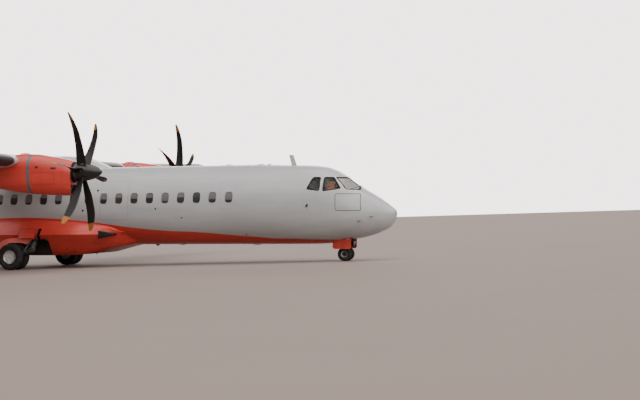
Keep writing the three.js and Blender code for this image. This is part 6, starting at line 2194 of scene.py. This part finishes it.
def make_fittings():
    """Aerials, beacons, probes, the ice plates beside the propellers, hatch outlines and position lights."""
    dark = "black_metal"
    mast_upper = mast(((3.49, 3.31), (3.58, 3.43)), (3.33, 3.69), 0.013, placed)
    piece("radio_aerial_upper", mast_upper, "aerial_paint")
    mast_aft = mast(((16.7, 16.5), (16.8, 16.62)), (3.37, 3.62), 0.011, placed)
    piece("radio_aerial_aft", mast_aft, "aerial_paint")
    plates = [patch for s, z, radii in ROOF_AERIALS for patch in dome((s, 0, z), radii, 1)]
    piece("aerial_plates", plates, "aerial_paint")
    low = lambda s, lift: (s, 0, float(body_section(np.array(s))[2]) + lift)
    bumps = dome(low(4.7, 0.004), (0.16, 0.12, 0.03), -1) + dome(low(7.3, 0.004), (0.12, 0.09, 0.03), -1)
    piece("belly_aerials", bumps, "aerial_paint")
    beacons = dome((8.9, 0, 3.387), (0.07, 0.07, 0.075), 1) + dome(low(8.2, 0.003), (0.07, 0.07, 0.06), -1)
    piece("beacons", beacons, "beacon_glass")
    for side, way in SIDES:
        place = on_side(way)
        probes = []
        for s, z in ((0.682, 1.661), (1.05, 1.52)):
            root, out = place(s, z, 0.005), place(s, z, -0.06)
            probes += rod(root, out, [(0.014, 0), (0.01, 1)], 14)
            head = [(0.01, 0), (0.011, 0.3), (0.007, 0.9), (0.004, 1)]
            probes += rod(out + 0.03 * AFT, out - 0.11 * AFT, head, 14)
        root, out = place(2.624, 2.05, 0.004), place(2.624, 2.05, -0.03)
        probes += rod(root, out, [(0.03, 0), (0.03, 0.3), (0.012, 0.5), (0.01, 1)], 18)
        piece(f"probes_{side}", probes, "probe_steel")
        vane = resampled(np.array([(2.6, 2.04), (2.67, 2.03), (2.67, 1.98), (2.6, 1.99)]), 0.01)
        piece(f"flow_vane_{side}", plate(vane, place, -0.034, -0.03, 2), dark)
        for name, (corners, radius, step, section, finish) in SIDE_SEAMS.items():
            seam(f"{name}_{side}", resampled(rounded(corners, radius), step), section, place, finish)
        lamps = []
        for s, z in ((9.74, 2.56), (10.23, 1.9)):
            lamps += plate(block((s, z), (s + 0.07, z + 0.06), 0.02, 0.01), place, -0.006, 0.004, 2)
        piece(f"wing_lamp_{side}", lamps, dark)
        ports = []
        for s, z in ((6.81, 1.683), (7.7, 1.967), (4.725, 1.12)):
            ports += rod(place(s, z, 0.004), place(s, z, -0.0015), [(0.03, 0), (0.03, 0.7), (0.024, 1)], 20)
        piece(f"static_ports_{side}", ports, dark)
    end, x = placed(25.98, 0, 2.97), np.array([1, 0, 0])
    lens = rod(end + 0.03 * x, end - 0.045 * x, [(0.04, 0), (0.045, 0.3), (0.035, 0.8), (0.012, 1)], 24)
    piece("tail_light", lens, "lamp_glass")
    lens = [(0.05, -4), (0.05, 0), (0.035, 0.5), (0.0, 1)]
    lens = rod(placed(26.0, 0, 7.335), placed(26.0, 0, 7.345), lens, 24)
    piece("fin_beacon", lens, "beacon_glass")


def coat(node, finish):
    """Gives a kept node a finish."""
    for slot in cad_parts[node].material_slots:
        slot.material = paint(finish)


def make_engines():
    """The engines inside the nacelles stay as they are built, in grey metal."""
    for side, _ in SIDES:
        coat(f"engine_{side}", "engine_metal")


# Camera and stage

CAMERA_PLACE = (MAIN_AXLE_X + MAIN_AXLE_STATION + 8.596, -41.106, 1.433)
CAMERA_HEADING, CAMERA_PITCH, CAMERA_ROLL = (math.radians(a) for a in (105.121, 0.75, 1.715))
CAMERA_FOCAL_PIXELS, IMAGE_WIDTH = 1310.96, 640
# Light of the sky behind the aircraft, from high up ahead of it and from all round
BACKDROP_LIGHT, HIGH_LIGHT, AROUND_LIGHT = 3.8, 2.6, 0.2
HIGH_WAY = (0.42, -0.22, 0.88)


def make_camera():
    """The camera of the photograph, from its place, its heading, pitch and roll, and its focal length."""
    data = bpy.data.cameras.new("photo_camera")
    camera = bpy.data.objects.new("photo_camera", data)
    bpy.context.scene.collection.objects.link(camera)
    data.sensor_width = 36
    data.lens = CAMERA_FOCAL_PIXELS / IMAGE_WIDTH * data.sensor_width
    data.clip_end = 4000
    h, p, r = CAMERA_HEADING, CAMERA_PITCH, CAMERA_ROLL
    ahead = Vector((math.cos(h) * math.cos(p), math.sin(h) * math.cos(p), math.sin(p)))
    right = ahead.cross(Vector((0, 0, 1))).normalized()
    up = right.cross(ahead)
    turned_right = right * math.cos(r) - up * math.sin(r)
    turned_up = right * math.sin(r) + up * math.cos(r)
    matrix = camera.matrix_world
    for row in range(3):
        matrix[row][0], matrix[row][1], matrix[row][2] = turned_right[row], turned_up[row], -ahead[row]
    camera.matrix_world = matrix
    camera.location = CAMERA_PLACE
    bpy.context.scene.camera = camera


def floor_paint(name):
    """Pale smooth floor with the faintest cloudiness."""
    s = Surface(name, Roughness=0.85, Specular_IOR_Level=0.2)
    s.feed("Base Color", s.mix(s.noise(0.3, 3, 0.5), (0.245, 0.2, 0.175), (0.27, 0.222, 0.195)))
    return s


def make_stage():
    """Camera, floor and the light of the sky."""
    make_camera()
    reach = sizes().floor_reach
    corners = np.array([[-reach, -reach, 0], [reach, -reach, 0], [reach, reach, 0], [-reach, reach, 0]])
    floor = piece("stage_floor", [(corners, [[0, 1, 2, 3]])], "floor_paint", None)
    sky = Sky("pale_sky")
    bpy.context.scene.world = sky.material
    ahead = sky.x * math.cos(CAMERA_HEADING) + sky.y * math.sin(CAMERA_HEADING)
    glow = sky.ramp(ahead, 0.86, 0.93) * BACKDROP_LIGHT
    high = sky.x * HIGH_WAY[0] + sky.y * HIGH_WAY[1] + sky.z * HIGH_WAY[2]
    sky.feed("Strength", glow + sky.ramp(high, 0.35, 0.8) * HIGH_LIGHT + AROUND_LIGHT)


# Finish of each piece: the function that makes it and its values
FINISHES = {
    "body_paint": (body_paint,),
    "nacelle_paint": (nacelle_paint,),
    "fairing_red": (fairing_paint,),
    "blade_paint": (blade_paint,),
    "pane_glass": (pane_paint,),
    "cabin_glass": (cabin_pane_paint,),
    "seat_cloth": (seat_paint,),
    "exhaust_metal": (exhaust_paint,),
    "floor_paint": (floor_paint,),
    "seal_rubber": (rubber_paint,),
    "boot_rubber": (rubber_paint,),
    "main_tyre_rubber": (tyre_paint, MAIN_AXLE_X, MAIN_TYRE),
    "nose_tyre_rubber": (tyre_paint, NOSE_AXLE_X, NOSE_TYRE),
    "wing_paint": (edged_paint, ((1.2, 3.45), (4.75, 13.3))),
    "tail_paint": (edged_paint, ((0.02, 3.7),)),
    "wing_metal": (plain_paint, "grey", 0.4),
    "fairing_paint": (plain_paint, "grey", 0.34, 0.62),
    "rudder_paint": (plain_paint, "tail", 0.38, 0.7, (0.5, 3, 3)),
    "spinner_paint": (plain_paint, "blade", 0.3),
    # Dark red-brown: painted shade on the wells' liners
    "lining": (plain_paint, (0.5, 0.5, 0.47), 0.6),
    "well_liner": (plain_paint, (0.06, 0.025, 0.02), 0.6),
    # Paler red than the fairings: painted highlight on the arch lips
    "lip_red": (plain_paint, (0.8, 0.17, 0.13), 0.4),
    "aerial_paint": (plain_paint, (0.5, 0.5, 0.49), 0.45),
    "tip_lamp_left": (lamp_paint, (0.6, 0.02, 0.02)),
    "tip_lamp_right": (lamp_paint, (0.02, 0.4, 0.08)),
    "beacon_glass": (lamp_paint, (0.65, 0.03, 0.02)),
    "lamp_glass": (lamp_paint, (0.75, 0.78, 0.78)),
    # Pale metal: the nose hubs' rings, and the cockpit panes' pale border, partly a painted edge highlight
    "pale_rim": (metal_paint, (0.62, 0.64, 0.64), 0.1, 0.4),
    "trim_grey": (metal_paint, (0.3, 0.31, 0.32), 0.2, 0.4),
    "black_metal": (metal_paint, (0.03, 0.03, 0.03), 0.4, 0.45),
    "hinge_metal": (metal_paint, (0.3, 0.31, 0.31), 0.7, 0.4),
    "window_rim": (metal_paint, (0.42, 0.43, 0.43), 0.2, 0.42),
    "bay_paint": (metal_paint, (0.42, 0.43, 0.42), 0.0, 0.5),
    "seat_frame": (metal_paint, (0.25, 0.25, 0.25), 0.6, 0.4),
    "stair_metal": (metal_paint, (0.45, 0.46, 0.46), 0.7, 0.35),
    "hub_paint": (metal_paint, (0.6, 0.6, 0.58), 0.1, 0.4),
    "nose_hub_paint": (metal_paint, (0.035, 0.035, 0.035), 0.1, 0.45),
    "bare_steel": (metal_paint, (0.5, 0.5, 0.5), 0.9, 0.28),
    # Painted shade: the main gear's metal and steel, darker copies of the gear grey and bare steel
    "main_leg_metal": (metal_paint, (0.055, 0.055, 0.052), 0.1, 0.5),
    "oiled_steel": (metal_paint, (0.16, 0.155, 0.15), 0.7, 0.4),
    "gear_metal": (metal_paint, (0.42, 0.43, 0.43), 0.15, 0.4),
    "probe_steel": (metal_paint, (0.09, 0.09, 0.09), 0.6, 0.4),
    "faint_trim": (metal_paint, (0.35, 0.36, 0.37), 0.1, 0.4),
    "engine_metal": (metal_paint, (0.3, 0.3, 0.3), 0.8, 0.4),
    "screen_cloth": (dark_paint, (0.42, 0.4, 0.37), 0.8),
    # Near-black cloth of the sheets behind the port panes: painted shade
    "blind_cloth": (dark_paint, (0.03, 0.03, 0.028), 0.8),
    "cockpit_trim": (dark_paint, (0.035, 0.035, 0.033), 0.7),
    "cockpit_plastic": (dark_paint, (0.03, 0.03, 0.032), 0.6),
    "shield_cloth": (dark_paint, (0.012, 0.012, 0.013), 0.9),
    "screen_glass": (dark_paint, (0.01, 0.014, 0.02), 0.15),
    "stair_grip": (dark_paint, (0.03, 0.03, 0.03), 0.85),
    # Near-black: painted shade inside the chin intakes
    "intake_dark": (dark_paint, (0.02, 0.02, 0.022), 0.6),
    "seam_red": (dark_paint, (0.1, 0.02, 0.015), 0.6),
    "seam_grey": (dark_paint, (0.05, 0.05, 0.05), 0.6),
    # Near-black: painted shade inside the wheel wells
    "well_dark": (dark_paint, (0.028, 0.016, 0.014), 0.7),
    "taxi_glass": (dark_paint, (0.05, 0.05, 0.05), 0.3),
}


class AIRLINER_OT_body(bpy.types.Operator):
    """Skins of the radome, cabin and tail cone"""

    bl_idname = "airliner.body"
    bl_label = "Body"

    def execute(self, context):
        make_body()
        return {"FINISHED"}


class AIRLINER_OT_nose(bpy.types.Operator):
    """Nose skin, cockpit glass, wipers, cabin windows and the nose wheel bay"""

    bl_idname = "airliner.nose"
    bl_label = "Nose and windows"

    def execute(self, context):
        make_nose()
        make_cabin_windows()
        return {"FINISHED"}


class AIRLINER_OT_cockpit(bpy.types.Operator):
    """Instrument panel, columns and pilots' seats"""

    bl_idname = "airliner.cockpit"
    bl_label = "Cockpit"

    def execute(self, context):
        make_cockpit()
        return {"FINISHED"}


class AIRLINER_OT_doors(bpy.types.Operator):
    """Doors with their frames, linings, airstair and hinges"""

    bl_idname = "airliner.doors"
    bl_label = "Doors"

    def execute(self, context):
        make_doors()
        return {"FINISHED"}


class AIRLINER_OT_wing(bpy.types.Operator):
    """Wing, flaps, ailerons and the fairing over the root"""

    bl_idname = "airliner.wing"
    bl_label = "Wing"

    def execute(self, context):
        make_wing()
        return {"FINISHED"}


class AIRLINER_OT_tail(bpy.types.Operator):
    """Fin, rudder, tailplane and elevators"""

    bl_idname = "airliner.tail"
    bl_label = "Tail"

    def execute(self, context):
        make_tail()
        return {"FINISHED"}


class AIRLINER_OT_nacelles(bpy.types.Operator):
    """Cowls, intakes, exhausts and propellers"""

    bl_idname = "airliner.nacelles"
    bl_label = "Nacelles"

    def execute(self, context):
        make_nacelles()
        make_engines()
        return {"FINISHED"}


class AIRLINER_OT_fairings(bpy.types.Operator):
    """Belly and landing-gear fairings"""

    bl_idname = "airliner.fairings"
    bl_label = "Fairings"

    def execute(self, context):
        make_fairings()
        return {"FINISHED"}


class AIRLINER_OT_main_gear(bpy.types.Operator):
    """Main gear legs and wheels"""

    bl_idname = "airliner.main_gear"
    bl_label = "Main gear"

    def execute(self, context):
        make_main_gear()
        return {"FINISHED"}


class AIRLINER_OT_nose_gear(bpy.types.Operator):
    """Nose gear leg, wheels, lamps and doors"""

    bl_idname = "airliner.nose_gear"
    bl_label = "Nose gear"

    def execute(self, context):
        make_nose_gear()
        return {"FINISHED"}


class AIRLINER_OT_fittings(bpy.types.Operator):
    """Aerials, probes, lamps and hatch outlines"""

    bl_idname = "airliner.fittings"
    bl_label = "Fittings"

    def execute(self, context):
        make_fittings()
        return {"FINISHED"}


class AIRLINER_OT_stage(bpy.types.Operator):
    """Camera, floor and light"""

    bl_idname = "airliner.stage"
    bl_label = "Stage"

    def execute(self, context):
        make_stage()
        return {"FINISHED"}


class AIRLINER_PT_panel(bpy.types.Panel):
    """Lists the airliner's pieces, sizes and colours"""

    bl_idname = "AIRLINER_PT_panel"
    bl_label = "Airliner"
    bl_space_type = "VIEW_3D"
    bl_region_type = "UI"
    bl_category = "Airliner"

    def draw(self, context):
        for group in (context.scene.airliner_sizes, context.scene.airliner_colours):
            for name in group.__annotations__:
                self.layout.prop(group, name)
        for operator in OPERATORS:
            self.layout.operator(operator.bl_idname)


OPERATORS = (
    AIRLINER_OT_stage,
    AIRLINER_OT_body,
    AIRLINER_OT_nose,
    AIRLINER_OT_cockpit,
    AIRLINER_OT_doors,
    AIRLINER_OT_wing,
    AIRLINER_OT_tail,
    AIRLINER_OT_nacelles,
    AIRLINER_OT_fairings,
    AIRLINER_OT_main_gear,
    AIRLINER_OT_nose_gear,
    AIRLINER_OT_fittings,
)
CLASSES = (AirlinerColours, AirlinerSizes, *OPERATORS, AIRLINER_PT_panel)


def register():
    """Adds the classes and the scene's sizes and colours."""
    for cls in CLASSES:
        bpy.utils.register_class(cls)
    bpy.types.Scene.airliner_colours = bpy.props.PointerProperty(type=AirlinerColours)
    bpy.types.Scene.airliner_sizes = bpy.props.PointerProperty(type=AirlinerSizes)


def unregister():
    """Takes them away again."""
    del bpy.types.Scene.airliner_colours
    del bpy.types.Scene.airliner_sizes
    for cls in reversed(CLASSES):
        bpy.utils.unregister_class(cls)


def main():
    register()
    for operator in OPERATORS:
        group, name = operator.bl_idname.split(".")
        getattr(getattr(bpy.ops, group), name)()
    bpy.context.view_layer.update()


if __name__ == "__main__":
    main()
